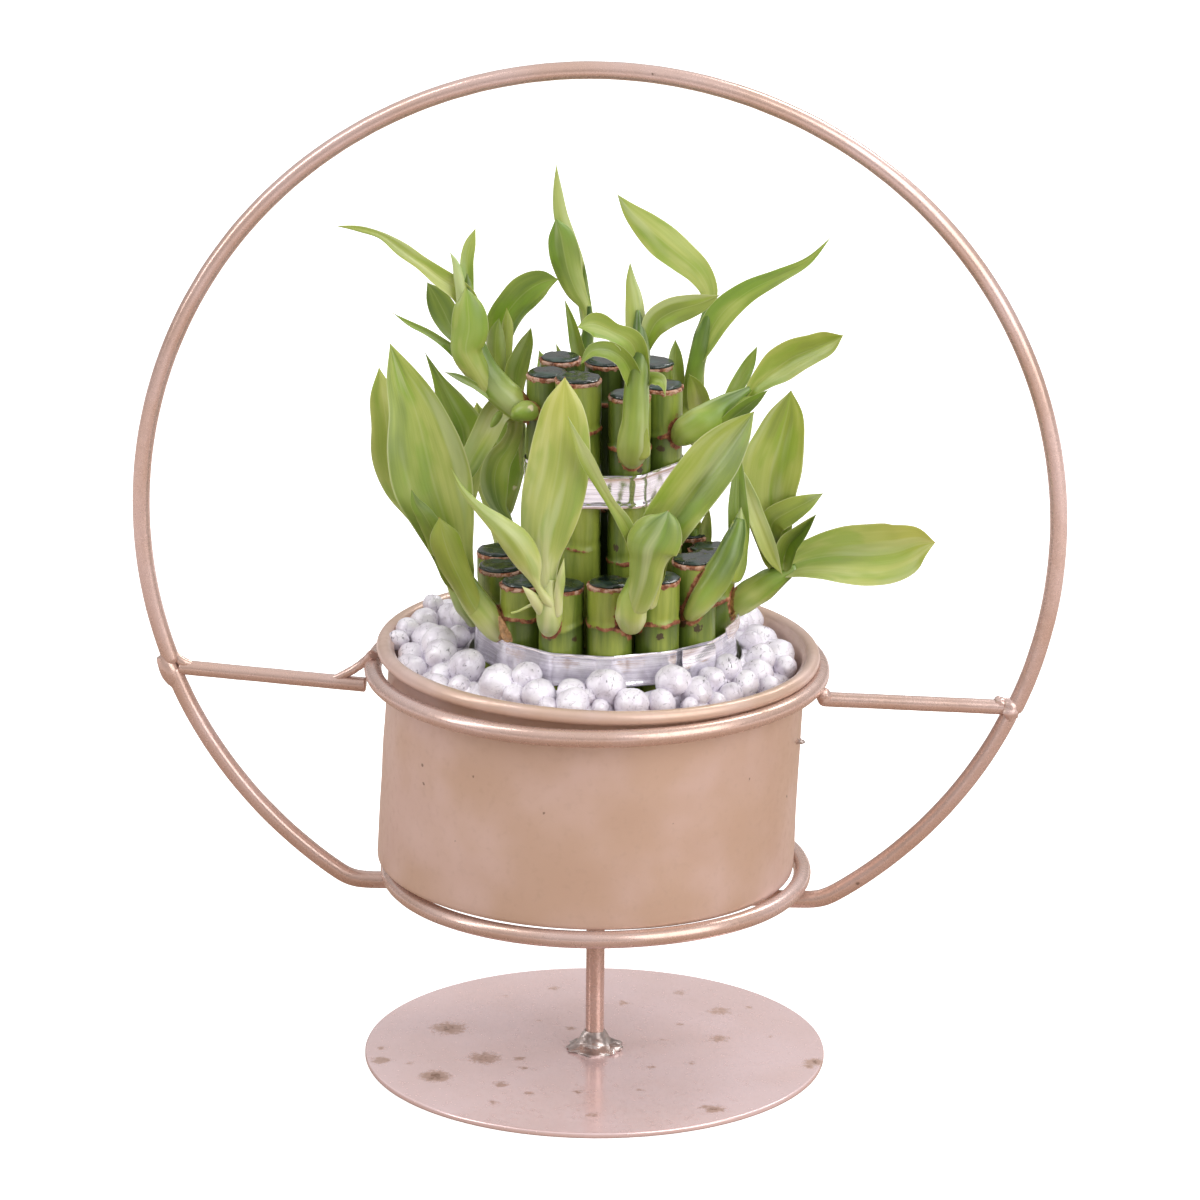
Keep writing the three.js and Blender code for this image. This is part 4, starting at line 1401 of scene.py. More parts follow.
class Tint(Enum):
    """A leaf's look: green at foot and tip, yellow at foot and tip, bloom at foot and tip."""

    GREEN = (0.46, 0.62, 0.05, 0.1, 0.0, 0.05)
    PALE = (0.34, 0.42, 0.15, 0.2, 0.1, 0.05)
    YELLOW = (0.4, 0.34, 0.1, 0.5, 0.2, 0.0)
    DEEP = (0.56, 0.74, 0.05, 0.1, 0.0, 0.0)
    OLIVE = (0.46, 0.6, 0.15, 0.25, 0.0, 0.0)
    FROST = (0.45, 0.55, 0.0, 0.0, 0.2, 0.35)
    STREAK = (0.42, 0.56, 0.1, 0.15, 0.08, 0.05)
    BRIGHT = (0.38, 0.52, 0.12, 0.12, 0.08, 0.05)
    STRAP = (0.5, 0.66, 0.1, 0.1, 0.0, 0.0)
    DARK_TIP = (0.4, 0.72, 0.1, 0.0, 0.12, 0.05)
    BLUR = (0.36, 0.48, 0.05, 0.05, 0.3, 0.25)
    STEM = (0.62, 0.78, 0.1, 0.1, 0.0, 0.0)
    DRY = (0.1, 0.2, 0.4, 0.4, 0.0, 0.0)


@dataclass(frozen=True)
class Blade:
    """A leaf as rows of x, y, z and half width from its foot to its tip.

    curl is how many degrees its section is rolled at the foot, middle and tip: above 0 its
    edges come towards the viewer. fold is the slope of its two halves from the midrib.
    """

    rows: tuple[Row, ...]
    curl: Row
    tint: Tint
    fold: float = 0.0
    turn: float = 0.0
    ragged: bool = False


@dataclass(frozen=True)
class Shoot:
    """A shoot grown as one piece: its stalks as rows of x, y, z and radius, and its blades."""

    stalks: tuple[tuple[Row, ...], ...]
    blades: tuple[Blade, ...]


# Places on the object, in millimetres. The rows of a stalk or a blade run from foot to tip.
SHOOTS: dict[str, Shoot] = {
    "shoot_front_left": Shoot(stalks=(
        ((-10.5, -31, 130.6, 1.8), (-10.2, -35, 133.5, 3), (-10, -37.8, 136.6, 3.5), (-9.9, -38.9, 140, 3.2),
         (-9.6, -39.3, 143.4, 2.5), (-9.3, -39.8, 147.7, 1.3)),
        ((-13, -40, 141.1, 0.5), (-15.3, -40.6, 140.1, 0.4), (-17.9, -41, 138.8, 0.3),
         (-19.7, -41.2, 138.3, 0.2)),
    ), blades=(
        Blade(((-10, -39, 141.4, 2), (-10.9, -40.4, 150.9, 3.5), (-10.8, -41.3, 159.7, 6.6),
            (-9.3, -41.9, 168.7, 8.1), (-7.6, -42, 177.8, 8.1), (-6.6, -41.8, 186.7, 7.3),
            (-6.3, -41.1, 195.3, 5), (-6, -40, 202.3, 0)), (-170, -70, -50), Tint.YELLOW),
        Blade(((-9, -41.5, 140.6, 2), (-12.5, -43.7, 146.5, 0.9), (-14.6, -45.4, 153.1, 3.4),
            (-17.9, -46.6, 159.2, 3.9), (-22.4, -47.3, 164.1, 2.7), (-27.3, -47.4, 168.4, 1.5),
            (-31.9, -46.9, 173.1, 0.8), (-35, -46, 178.7, 0)), (-160, -80, -50), Tint.PALE),
        Blade(((-11.3, -40, 137.8, 1.5), (-12.3, -41.8, 140.6, 1.6), (-13.5, -43, 142.9, 1.4),
            (-14.9, -43.8, 144.9, 0.9), (-16.6, -44, 146.6, 0)), (-150, -90, -60), Tint.PALE),
        Blade(((-7.8, -40, 137.4, 1.4), (-7.5, -41.2, 141, 1.3), (-7.2, -41.8, 144.4, 1.2),
            (-6.7, -42, 147.7, 1.2), (-6.3, -41.8, 150.7, 0.7), (-5.9, -41, 153.6, 0)),
            (-170, -120, -80), Tint.PALE),
    )),
    "shoot_front_right": Shoot(stalks=(
        ((11, -29, 131.4, 2.1), (11.3, -34, 134.7, 3.5), (11.5, -37, 138.1, 4.1), (11.8, -38, 141.7, 3.9),
         (12.6, -38.5, 145.2, 3.1), (13.9, -39, 149.7, 2.3), (15.2, -39.5, 154.3, 1.3)),
    ), blades=(
        Blade(((16.9, -37.5, 145, 3.1), (17.2, -39.2, 153.9, 4.2), (20, -40.3, 161.9, 6.2),
            (24.5, -40.9, 169.1, 6.7), (29.3, -41, 176, 7), (34.1, -40.5, 182.6, 6.6),
            (38.8, -39.5, 188.6, 4.1), (43, -38, 193.8, 0)), (150, 62, 55), Tint.STRAP, fold=0.42),
        Blade(((13.3, -38, 150.4, 1.4), (12.2, -40.4, 157.6, 1.7), (9.9, -42.5, 164.2, 1.9),
            (6.4, -44.2, 170.1, 1.3), (3.3, -45.7, 176.1, 1.6), (0.4, -46.8, 182.1, 1.9),
            (-2.2, -47.6, 188.1, 1), (-4.6, -48, 194.1, 0)), (100, 50, 40), Tint.GREEN, turn=10),
        Blade(((12.4, -39, 138.3, 2.8), (14, -41.1, 143.6, 3.7), (15.2, -42.8, 148.9, 4.3), (16, -44, 154, 5),
            (16.9, -44.9, 158.5, 6.9), (19.2, -45.3, 162.5, 6.4), (20.8, -45.4, 166, 3.9),
            (21.4, -45, 168.6, 0)), (-190, -130, -70), Tint.DARK_TIP),
        Blade(((16.6, -37.5, 139.5, 1.3), (17.1, -38.7, 142.5, 1.5), (17.7, -39.6, 145.4, 1.5),
            (18.4, -40.3, 148.2, 1.4), (19.2, -40.8, 150.9, 1), (20, -41, 153.2, 0)),
            (-150, -110, -60), Tint.PALE),
    )),
    "shoot_left": Shoot(stalks=(
        ((-23.8, -17, 124.1, 1.9), (-25, -21.5, 127.2, 3.3), (-27.3, -22.3, 130.7, 3.8),
         (-31.5, -20.8, 135.9, 3.6), (-35.9, -18.5, 142.6, 2.6), (-38.6, -18, 148.4, 1.1)),
    ), blades=(
        Blade(((-34.6, -17, 136, 3.9), (-36.9, -18.3, 146.7, 5.3), (-39.3, -19, 156.6, 8.2),
            (-42.2, -19.1, 166.5, 10.5), (-44.6, -18.7, 176.6, 9.9), (-47.1, -17.7, 186.1, 7.2),
            (-50.8, -16.1, 194.9, 4.2), (-54, -14, 203, 0)), (150, 70, 50), Tint.STREAK),
        Blade(((-40, -20, 146.8, 3.1), (-41, -21.6, 151.2, 2.7), (-42.3, -23, 155.5, 2.7),
            (-44.1, -24, 159.3, 2.3), (-46.3, -24.6, 162.8, 1.4), (-47.4, -25, 166.5, 0)),
            (-120, -60, -50), Tint.GREEN),
        Blade(((-28.3, -22, 129.2, 2), (-31.4, -24.4, 135.6, 2.6), (-34.1, -26.2, 142.1, 3.3),
            (-36.7, -27.6, 148.6, 4), (-38.6, -28.6, 155, 3.7), (-39.7, -29, 160.2, 0)),
            (-190, -140, -80), Tint.OLIVE),
        Blade(((-20.6, -27, 126, 0.5), (-21.8, -27.6, 127.3, 1.3), (-22.9, -27.8, 129.8, 1.1),
            (-24, -27.2, 132.9, 0.3)), (40, 60, 40), Tint.DRY),
    )),
    "shoot_left_back": Shoot(stalks=(
        ((-33.2, 8, 120.4, 2.7), (-35.7, 6, 126, 3.5), (-38, 4, 131.6, 2.9), (-39.8, 3, 138.1, 1.9),
         (-40.8, 3, 142.5, 0.8)),
    ), blades=(
        Blade(((-39.1, 2, 138.7, 2.1), (-43.8, 0.4, 146.1, 2.6), (-48.5, -0.6, 153.2, 3.2),
            (-52.7, -1, 160.4, 4.5), (-55.4, -0.9, 168.4, 4.9), (-56.4, -0.1, 176.6, 4.1),
            (-57.6, 1.1, 184.7, 3.3), (-58.7, 3, 191.7, 0)), (120, 60, 40), Tint.PALE),
        Blade(((-38.5, 4, 139.5, 2.1), (-38.3, 5.1, 147.7, 3.5), (-37.6, 6.3, 155.9, 4.7),
            (-36.8, 7.4, 164.1, 5.8), (-36.8, 8.6, 172.4, 6.3), (-39.9, 9.7, 179.6, 4.3),
            (-43.6, 10.9, 186.5, 1.6), (-47.3, 12, 193.6, 0)), (100, 50, 40), Tint.GREEN),
    )),
    "shoot_upper_left_low": Shoot(stalks=(
        ((-19.7, 6, 179.5, 2.1), (-23, 3.5, 180.1, 2.4), (-25.3, 2, 179.9, 2.3), (-26.9, 0, 178.8, 1.6),
         (-28.5, -1, 176.3, 0.7)),
    ), blades=(
        Blade(((-23, 1, 184.4, 3.6), (-27.2, -0.7, 180.9, 3.6), (-29.8, -2.3, 175.8, 3.6),
            (-32.5, -3.7, 170.8, 3.2), (-35.1, -4.9, 165.7, 2.7), (-36.5, -6, 160.9, 0)),
            (110, 50, 40), Tint.STRAP),
        Blade(((-22.1, 2, 180, 2.1), (-22.4, 2.1, 175.1, 2.2), (-24.1, 2.1, 170.9, 2.7),
            (-26.7, 2.1, 166.8, 3.6), (-27.8, 1.9, 162.3, 3.9), (-27.4, 1.7, 157.6, 3.2),
            (-26, 1.4, 153.6, 1.8), (-23, 1, 150.3, 0)), (110, 60, 40), Tint.DEEP),
        Blade(((-22, 4, 179.4, 1.3), (-21.1, 4, 175.9, 1.2), (-20.8, 4, 172.4, 0.9), (-20.9, 4, 168.9, 0.6),
            (-20.9, 4, 165.3, 0.3), (-20.8, 4, 161.7, 0)), (90, 60, 40), Tint.DEEP),
    )),
    "shoot_right": Shoot(stalks=(
        ((25.3, -18, 130.9, 1.6), (26.6, -21.5, 133.7, 2.5), (28.5, -22.5, 136.5, 3.2),
         (31, -21.7, 140.5, 3.8), (34.8, -20, 146.7, 3.7), (37.5, -18, 153.3, 2.9), (38.7, -17, 158.5, 1.3)),
    ), blades=(
        Blade(((37.5, -16, 147.7, 3.1), (38.3, -15.1, 151.9, 2.8), (38.3, -14.3, 156.2, 2.9),
            (38, -13.4, 160.5, 2.7), (37.9, -12.6, 164.7, 2.2), (37.9, -11.7, 168.9, 1.6),
            (37.8, -10.9, 173.1, 0.8), (37.6, -10, 177.3, 0)), (90, 50, 40), Tint.GREEN),
        Blade(((36.3, -19, 146.4, 1.5), (36.6, -19.1, 149.5, 1.7), (36.8, -19, 152.5, 1.5),
            (36.9, -18.6, 155.4, 0.9), (36.9, -18, 158.2, 0)), (150, 110, 60), Tint.PALE),
        Blade(((34.8, -19.5, 141.8, 3.7), (36.3, -19.3, 145.8, 4.1), (37.2, -18.8, 149.9, 3.7),
            (38, -18.1, 153.9, 2.9), (38.6, -17.2, 157.6, 1.7), (38.9, -16, 161.3, 0)),
            (-190, -150, -80), Tint.STEM),
    )),
    "shoot_right_outer": Shoot(stalks=(
        ((34.7, 0, 127.1, 2.4), (36.5, -3, 129.8, 3.3), (38.7, -4.5, 132, 3.7), (42.6, -5, 135, 3.9),
         (46.6, -5.5, 138.1, 3.5), (50.1, -6, 140.3, 2.4), (53.5, -7, 142.4, 1.1)),
        ((32.8, -4, 128.6, 0.5), (34.8, -6, 129, 0.4), (36.2, -7, 128.2, 0.3), (37.2, -7, 129.4, 0.2)),
    ), blades=(
        Blade(((48.2, -6, 140.4, 2.5), (47.3, -7.2, 148.2, 4.2), (46.4, -7.9, 155.8, 6),
            (45.7, -8.1, 163.3, 7.4), (46.7, -7.8, 170.8, 8), (48.6, -7, 177.9, 6.6),
            (50.3, -5.8, 184.7, 4.3), (51.1, -4, 190.2, 0)), (130, 60, 40), Tint.OLIVE),
        Blade(((38.3, -9, 169.9, 0.5), (39.6, -10.9, 166.2, 1.5), (40.9, -12.1, 162.3, 2.3),
            (42.6, -12.9, 158.3, 2.3), (44.3, -13, 154.1, 2.3), (45.9, -12.6, 149.8, 2.2),
            (47.6, -11.6, 145.5, 1.5), (49.7, -10, 141.2, 0)), (70, 60, 40), Tint.BRIGHT),
        Blade(((48.7, -6, 143.9, 1.5), (46.6, -9.2, 149.9, 2.3), (47, -11, 155.7, 3.6),
            (51.5, -11.6, 159.2, 3.4), (56, -11, 161.6, 2.2), (60.2, -9, 163.6, 0)),
            (100, 50, 40), Tint.OLIVE),
        Blade(((49.9, -8, 141.7, 1.9), (50.2, -9.6, 146, 2.6), (51.5, -11.2, 150, 2.9),
            (54, -12.8, 153.3, 2.3), (56.4, -14.4, 156.6, 1.3), (58.7, -16, 159.9, 0)),
            (150, 110, 90), Tint.DEEP, fold=0.5),
        Blade(((48.3, -7, 139.7, 1), (53.5, -8.2, 143.9, 3.9), (59.6, -9.4, 146.1, 5.9),
            (66.3, -10.5, 147.2, 7.6), (73.1, -11.5, 147.7, 8.2), (79.8, -12.4, 149, 7.7),
            (85.8, -13.2, 151.5, 5), (90.1, -14, 152.4, 0)), (110, 60, 40), Tint.YELLOW, fold=0.2),
    )),
    "shoot_right_back": Shoot(stalks=(
        ((23, 14, 124.6, 2.4), (24.4, 17, 131.1, 3.2), (24.5, 17, 139, 2.4), (24.7, 17, 145.1, 1.1)),
    ), blades=(
        Blade(((24.3, 17, 136.7, 2), (24.7, 17, 139.9, 2.1), (24.8, 17, 143.2, 2.2), (24.4, 17, 146.4, 2.2),
            (24.1, 17, 149.5, 1.9), (24.7, 17, 152.1, 0)), (100, 60, 40), Tint.PALE),
        Blade(((25.7, 17, 135, 1.4), (26.9, 17.2, 138.1, 1.8), (27.5, 17.2, 141.3, 1.9),
            (27.8, 16.8, 144.7, 1.8), (28.3, 16, 148.1, 1.1), (28.8, 15, 151.5, 0)),
            (100, 60, 40), Tint.PALE),
    )),
    "shoot_upper_left": Shoot(stalks=(
        ((-17.7, -2, 181, 2.4), (-19.9, -4.6, 183, 3.4), (-23.3, -5.5, 186.2, 4.1), (-27, -5.5, 189.9, 4),
         (-30, -5, 194.9, 3.2), (-32.7, -4, 201.7, 2.4), (-34.4, -3.5, 208.1, 1.6), (-34.9, -3, 212.3, 0.8)),
        ((-15.1, -5, 181.9, 1.6), (-16.7, -8.5, 183.9, 2.5), (-18.7, -10.3, 184.4, 2.7),
         (-20.5, -10.3, 183.8, 2.1), (-21.9, -9.8, 182.8, 1.1)),
    ), blades=(
        Blade(((-32.8, -3, 209.6, 3.1), (-36.6, -3.4, 214.8, 2.8), (-41.7, -3.9, 218.6, 2.5),
            (-46.7, -4.6, 222.6, 1.9), (-51.8, -5.4, 226.4, 1.9), (-57, -6.5, 230.2, 1),
            (-62.8, -7.7, 232.2, 0.8), (-68.9, -9, 233.2, 0)), (100, 50, 30), Tint.OLIVE),
        Blade(((-34.1, -1, 197.4, 2), (-37, 1.1, 200.6, 2.2), (-39.7, 3.1, 203.8, 3.1),
            (-41.9, 4.9, 207.5, 3.6), (-44.2, 6.5, 211.1, 2.5), (-46.3, 8, 214, 0)), (80, 50, 40), Tint.DEEP),
        Blade(((-32.9, -5, 194, 1.9), (-36.6, -5, 197.7, 1.6), (-40.7, -5, 201, 1.1), (-45, -5, 203.8, 0.9),
            (-49.7, -5, 206.1, 0.7), (-54.1, -5, 208.8, 0)), (150, 90, 60), Tint.DEEP),
        Blade(((-28.6, -7, 188.4, 2.7), (-31.5, -8.7, 194.4, 3.4), (-34.2, -9.7, 200.2, 4.2),
            (-33.4, -10.1, 206.6, 4.9), (-33.8, -9.9, 212.8, 3.7), (-34.4, -9, 217.4, 0)),
            (-190, -110, -70), Tint.GREEN, ragged=True),
        Blade(((-35.6, -6, 208.7, 1.2), (-35.9, -5.6, 212.2, 1.3), (-36.3, -5.2, 215.7, 1.3),
            (-36.8, -4.8, 219.1, 1.3), (-37.6, -4.4, 222.5, 0.9), (-39.1, -4, 225.5, 0)),
            (-120, -90, -60), Tint.FROST),
        Blade(((-34.1, -1, 208.5, 1.6), (-34.6, 0.3, 212.8, 1.5), (-35, 1.5, 217.2, 1.7),
            (-35.2, 2.5, 221.7, 1.8), (-34.4, 3.3, 226.1, 1.5), (-33.1, 4, 230.1, 0)),
            (100, 70, 50), Tint.GREEN),
        Blade(((-34, -3, 207.9, 1.7), (-34.2, -3.1, 211, 1.8), (-34.4, -3, 213.9, 1.6),
            (-34.6, -2.6, 216.7, 1.1), (-34.8, -2, 219.4, 0)), (-120, -80, -50), Tint.DEEP),
        Blade(((-27.3, -8, 187.3, 1.2), (-29.7, -8.8, 189.2, 1.1), (-32.1, -9.6, 190.9, 0.9),
            (-34.6, -10.4, 192.5, 1), (-37.2, -11.2, 193.9, 0.7), (-39.8, -12, 195, 0)),
            (120, 70, 60), Tint.DEEP),
    )),
    "shoot_upper_left_back": Shoot(stalks=(
        ((-18.9, 12.5, 177.1, 2.1), (-22.7, 13.5, 179.8, 2.7), (-25.5, 14, 183.7, 2.9),
         (-26.6, 14, 189.2, 2.4), (-27.3, 13.5, 195.4, 1.3), (-27.3, 13.5, 199.8, 0.7)),
    ), blades=(
        Blade(((-26.3, 14, 185.6, 2.1), (-27.6, 14.5, 190.8, 2.8), (-27.8, 14.8, 196.2, 3.4),
            (-27, 15, 201.5, 4.3), (-24.2, 15, 206.3, 4.4), (-20.4, 14.8, 210.4, 4.6),
            (-16, 14.5, 213.1, 3.3), (-11.9, 14, 214.1, 0)), (100, 50, 30), Tint.DEEP),
        Blade(((-27.3, 12, 185.3, 1.7), (-28, 10.6, 189.4, 2.3), (-28.1, 9.4, 193.4, 2.5),
            (-28.1, 8.6, 197.4, 2.5), (-27.8, 8.2, 201.3, 1.7), (-27.2, 8, 204.6, 0)),
            (-190, -150, -80), Tint.BRIGHT),
        Blade(((-26.2, 13, 184.8, 1.6), (-26, 12.1, 189.4, 1.7), (-25.8, 11.3, 193.9, 1.8),
            (-25.4, 10.7, 198.4, 1.7), (-25.1, 10.3, 202.7, 1.4), (-25.3, 10, 206.9, 0)),
            (-160, -120, -70), Tint.PALE),
        Blade(((-22.9, 12, 179.9, 2.1), (-23.1, 10.4, 184.8, 2.5), (-22.6, 8.8, 189.7, 3.1),
            (-21.1, 7.2, 194.5, 2.7), (-19.5, 5.6, 199.1, 1.8), (-18.3, 4, 203.4, 0)),
            (110, 60, 40), Tint.DEEP),
    )),
    "shoot_upper_right": Shoot(stalks=(
        ((22.1, -6, 177.1, 2.6), (23.5, -8.6, 179.3, 3.8), (25.6, -9, 180.8, 4.3), (29, -8.8, 183, 4.2),
         (33.1, -7.5, 186, 3.3), (37.3, -6.6, 188.9, 1.8), (40.4, -6, 191, 0.7)),
    ), blades=(
        Blade(((38.3, -6, 186, 0.7), (40.9, -5.8, 190.3, 1.9), (44.1, -5.8, 193.9, 3.2),
            (47.9, -5.9, 197.2, 4.6), (52, -6.2, 200.1, 4.6), (56.7, -6.6, 202.3, 3.9),
            (61.2, -7.2, 204.5, 3), (64.7, -8, 206.6, 0)), (110, 55, 50), Tint.OLIVE, fold=0.3),
        Blade(((32.6, -6, 183.4, 1.1), (34.6, -4.3, 186.7, 1.7), (36.5, -2.7, 190.1, 2),
            (38.5, -1.3, 193.6, 2), (40.2, -0.1, 197.1, 1.4), (41.8, 1, 200.6, 0)), (120, 80, 60), Tint.DEEP),
        Blade(((29.6, -9, 177.1, 1.7), (32.7, -10.4, 180.6, 1.7), (35.8, -11.6, 184, 2),
            (39, -12.4, 187.1, 1.9), (42.3, -12.8, 189.9, 1.3), (45.4, -13, 192.6, 0)),
            (130, 80, 60), Tint.DEEP),
        Blade(((25.7, -9.5, 175.7, 2.4), (28.6, -9.4, 178.9, 3.2), (31.6, -9.2, 182.1, 3.7),
            (34.6, -8.8, 184.9, 3.4), (37.8, -8.2, 187.2, 2.1), (41, -7.5, 189.3, 0)),
            (-180, -130, -70), Tint.STEM),
    )),
    "shoot_upper_right_back": Shoot(stalks=(
        ((19.1, 9, 174.1, 2.1), (21.8, 11.5, 177.3, 2.9), (23.8, 12.3, 182.7, 2.8), (24.8, 12.5, 189.8, 2.5),
         (26.3, 12.5, 198.2, 2.3), (27.8, 12.8, 205, 1.6), (28.3, 13, 209.6, 0.7)),
    ), blades=(
        Blade(((22.5, 12, 180, 1.6), (23.6, 11.5, 189.5, 1.3), (27.1, 11.2, 198.2, 2.9),
            (31.6, 11, 206.4, 3.7), (38.4, 11, 212.6, 3), (46.4, 11.2, 216.9, 2), (54.3, 11.5, 221.3, 1.1),
            (60.4, 12, 227.9, 0)), (120, 45, 40), Tint.GREEN),
        Blade(((27.6, 13, 205.7, 1.4), (28.2, 13.3, 211.9, 2.4), (25.4, 13.8, 217.1, 3.5),
            (20.8, 14.5, 221, 4.2), (15.9, 15.5, 224.7, 4.6), (11.3, 16.8, 228.4, 3.8),
            (6.9, 18.3, 232.1, 2.2), (3.2, 20, 236.2, 0)), (90, 40, 40), Tint.BRIGHT, fold=-0.3),
        Blade(((26.6, 11, 178.7, 3), (26.2, 8.9, 182.4, 3.1), (25.6, 7, 185.9, 2.7), (24.7, 5.4, 189, 1.7),
            (23.7, 4, 191.6, 0)), (100, 60, 40), Tint.DEEP),
        Blade(((21.7, 13, 180.2, 1.9), (20.4, 13.4, 183.7, 2.3), (19.8, 13.8, 187.4, 2.2),
            (19.6, 14.2, 191.1, 2.1), (19.4, 14.6, 194.7, 1.5), (19.3, 15, 198.1, 0)),
            (100, 70, 50), Tint.BRIGHT),
        Blade(((24.4, 12, 180.3, 1.2), (25.7, 10.9, 182.6, 1.2), (26.4, 10, 184.9, 0.9),
            (27, 9.4, 187.2, 0.4), (27.4, 9, 189.5, 0)), (110, 80, 60), Tint.GREEN),
    )),
    "shoot_upper_front": Shoot(stalks=(
        ((10.1, -16, 173.1, 1.8), (10.3, -20.5, 175.8, 3.4), (10.6, -23.4, 178.5, 4.2), (11, -24.5, 182.4, 4),
         (11.4, -24.6, 186.8, 3.5), (11.5, -24, 192.9, 3.3), (11.8, -23.2, 199.7, 3.1),
         (12.3, -22.3, 206.2, 2.6), (12, -21.6, 211.4, 1.6), (11.6, -21, 215.5, 0.5)),
    ), blades=(
        Blade(((13.1, -21.5, 199, 2.3), (13.1, -21.9, 203.8, 1.5), (14.5, -22.5, 208.7, 2.2),
            (16.5, -23.1, 213, 3.5), (20.4, -23.9, 216, 3.7), (24.9, -24.8, 217.8, 3.2),
            (29.1, -25.8, 219.5, 2.1), (33, -27, 221.7, 0)), (120, 50, 40), Tint.OLIVE),
        Blade(((11.5, -21, 204.2, 2.3), (11, -20.6, 209, 2.6), (10.8, -20.2, 213.8, 2.6),
            (10.4, -19.8, 218.6, 2.2), (9.6, -19.4, 223.2, 1.3), (9.3, -19, 227.9, 0)),
            (-130, -70, -50), Tint.GREEN),
        Blade(((12.4, -22.5, 196, 2.7), (12, -24.7, 202.4, 2.9), (10.1, -26.6, 208.3, 3.5),
            (5.8, -28.3, 211.4, 2.5), (0.8, -29.8, 213.8, 3.2), (-3.5, -31, 213.3, 0)),
            (130, 70, 60), Tint.DEEP),
        Blade(((11.7, -23.5, 194.6, 2.1), (10.3, -26, 199.8, 2.4), (8.1, -28.1, 204.4, 2.3),
            (4.6, -29.8, 207, 2.3), (0.5, -31.1, 207.1, 1.7), (-2.6, -32, 203.6, 0)),
            (150, 100, 60), Tint.DEEP),
        Blade(((13.3, -22.5, 196.8, 1.8), (15.6, -24.4, 198.3, 1.6), (17.9, -26, 198.1, 1.7),
            (18.9, -27.2, 196.7, 0.7), (19.3, -28, 194.5, 0)), (120, 90, 60), Tint.DEEP),
        Blade(((12.6, -25, 176.3, 2.7), (12.6, -25.8, 179.7, 2.7), (12.5, -26.4, 182.9, 2.4),
            (12.3, -26.6, 186, 2.1), (12.1, -26.4, 189, 1.4), (12.2, -26, 191.5, 0)),
            (-190, -150, -90), Tint.OLIVE),
    )),
    "shoot_upper_back": Shoot(stalks=(
        ((-7.1, 20, 175.8, 1.9), (-6.3, 22.7, 181.2, 2.4), (-5.9, 23.8, 187.9, 2.3), (-5.1, 23.8, 194.3, 1.9),
         (-4.3, 23.5, 200.5, 1.1), (-4.3, 23, 204.5, 0.5)),
    ), blades=(
        Blade(((-4.7, 23.5, 193, 1.5), (-4.8, 23.4, 198.7, 1.4), (-5.3, 23.3, 203.9, 1.4),
            (-7.9, 23.1, 208.7, 2.8), (-9.8, 22.9, 213.8, 3.6), (-11, 22.6, 219.2, 4.1),
            (-12, 22.3, 224.5, 3.2), (-13.3, 22, 228.7, 0)), (-150, -60, -50), Tint.DARK_TIP),
        Blade(((-4.3, 24, 194.8, 1.6), (-5.4, 25.3, 201.5, 1.6), (-6.6, 26.5, 208.2, 1.7),
            (-8.2, 27.6, 214.8, 2.2), (-10.4, 28.4, 221.3, 2.2), (-12.5, 29.1, 227.8, 1.9),
            (-13.4, 29.6, 234.7, 1.2), (-13.8, 30, 241.5, 0)), (-120, -70, -50), Tint.BLUR),
        Blade(((-4.5, 24.5, 197.4, 1.5), (-4.9, 25.2, 201, 1.5), (-5.3, 25.7, 204.6, 1.3),
            (-5.6, 26.2, 208.2, 1), (-5.8, 26.7, 211.9, 0.6), (-6, 27, 215.5, 0)),
            (-120, -90, -60), Tint.DEEP),
        Blade(((-5.8, 23, 186.1, 1.8), (-6.6, 21.2, 190.8, 1.9), (-7.5, 19.6, 195.2, 1.8),
            (-8.3, 18.4, 199.6, 1.4), (-9.3, 17.6, 203.8, 0.8), (-10.4, 17, 207.8, 0)),
            (110, 70, 50), Tint.DEEP),
        Blade(((-10.8, 22, 186.3, 1), (-11.3, 21.5, 188.5, 1.1), (-11.7, 21, 190.6, 0.9),
            (-12.3, 20.5, 192.8, 0.5), (-12.9, 20, 194.8, 0)), (110, 70, 50), Tint.GREEN),
    )),
    "shoot_back": Shoot(stalks=(
        ((-3, 32, 131, 3), (-4, 35, 133.4, 4.4), (-5.4, 38, 138, 4.2), (-5.6, 40, 144, 3.4),
         (-5, 41, 149, 1.6)),
    ), blades=(
        Blade(((-5, 40, 143, 3.4), (-8, 43, 152, 5), (-12, 46, 163, 7.2), (-16, 49, 174, 5.2),
            (-20, 52, 184, 0)), (-150, -60, -40), Tint.GREEN),
        Blade(((-5, 40, 144, 3.2), (-1, 43, 152, 4.6), (4, 46, 161, 6.4), (9, 48, 170, 4.6),
            (14, 50, 178, 0)), (-150, -60, -40), Tint.STREAK),
    )),
    "shoot_back_left": Shoot(stalks=(
        ((-21.4, 24.4, 130, 2.6), (-24, 27, 133, 3.8), (-26.8, 28.8, 137, 3.6), (-28.8, 30.4, 143, 3),
         (-29, 31, 147, 1.4)),
    ), blades=(
        Blade(((-29, 31, 142, 3), (-31, 34, 150, 4.2), (-33, 36, 158, 5.8), (-35, 39, 166, 4),
            (-36, 41, 172, 0)), (-150, -60, -40), Tint.OLIVE),
        Blade(((-29, 31, 142, 2.8), (-27, 35, 152, 3.8), (-26, 37, 162, 4.4), (-27, 39, 171, 2.8),
            (-28, 40, 178, 0)), (-150, -60, -40), Tint.GREEN),
    )),
}
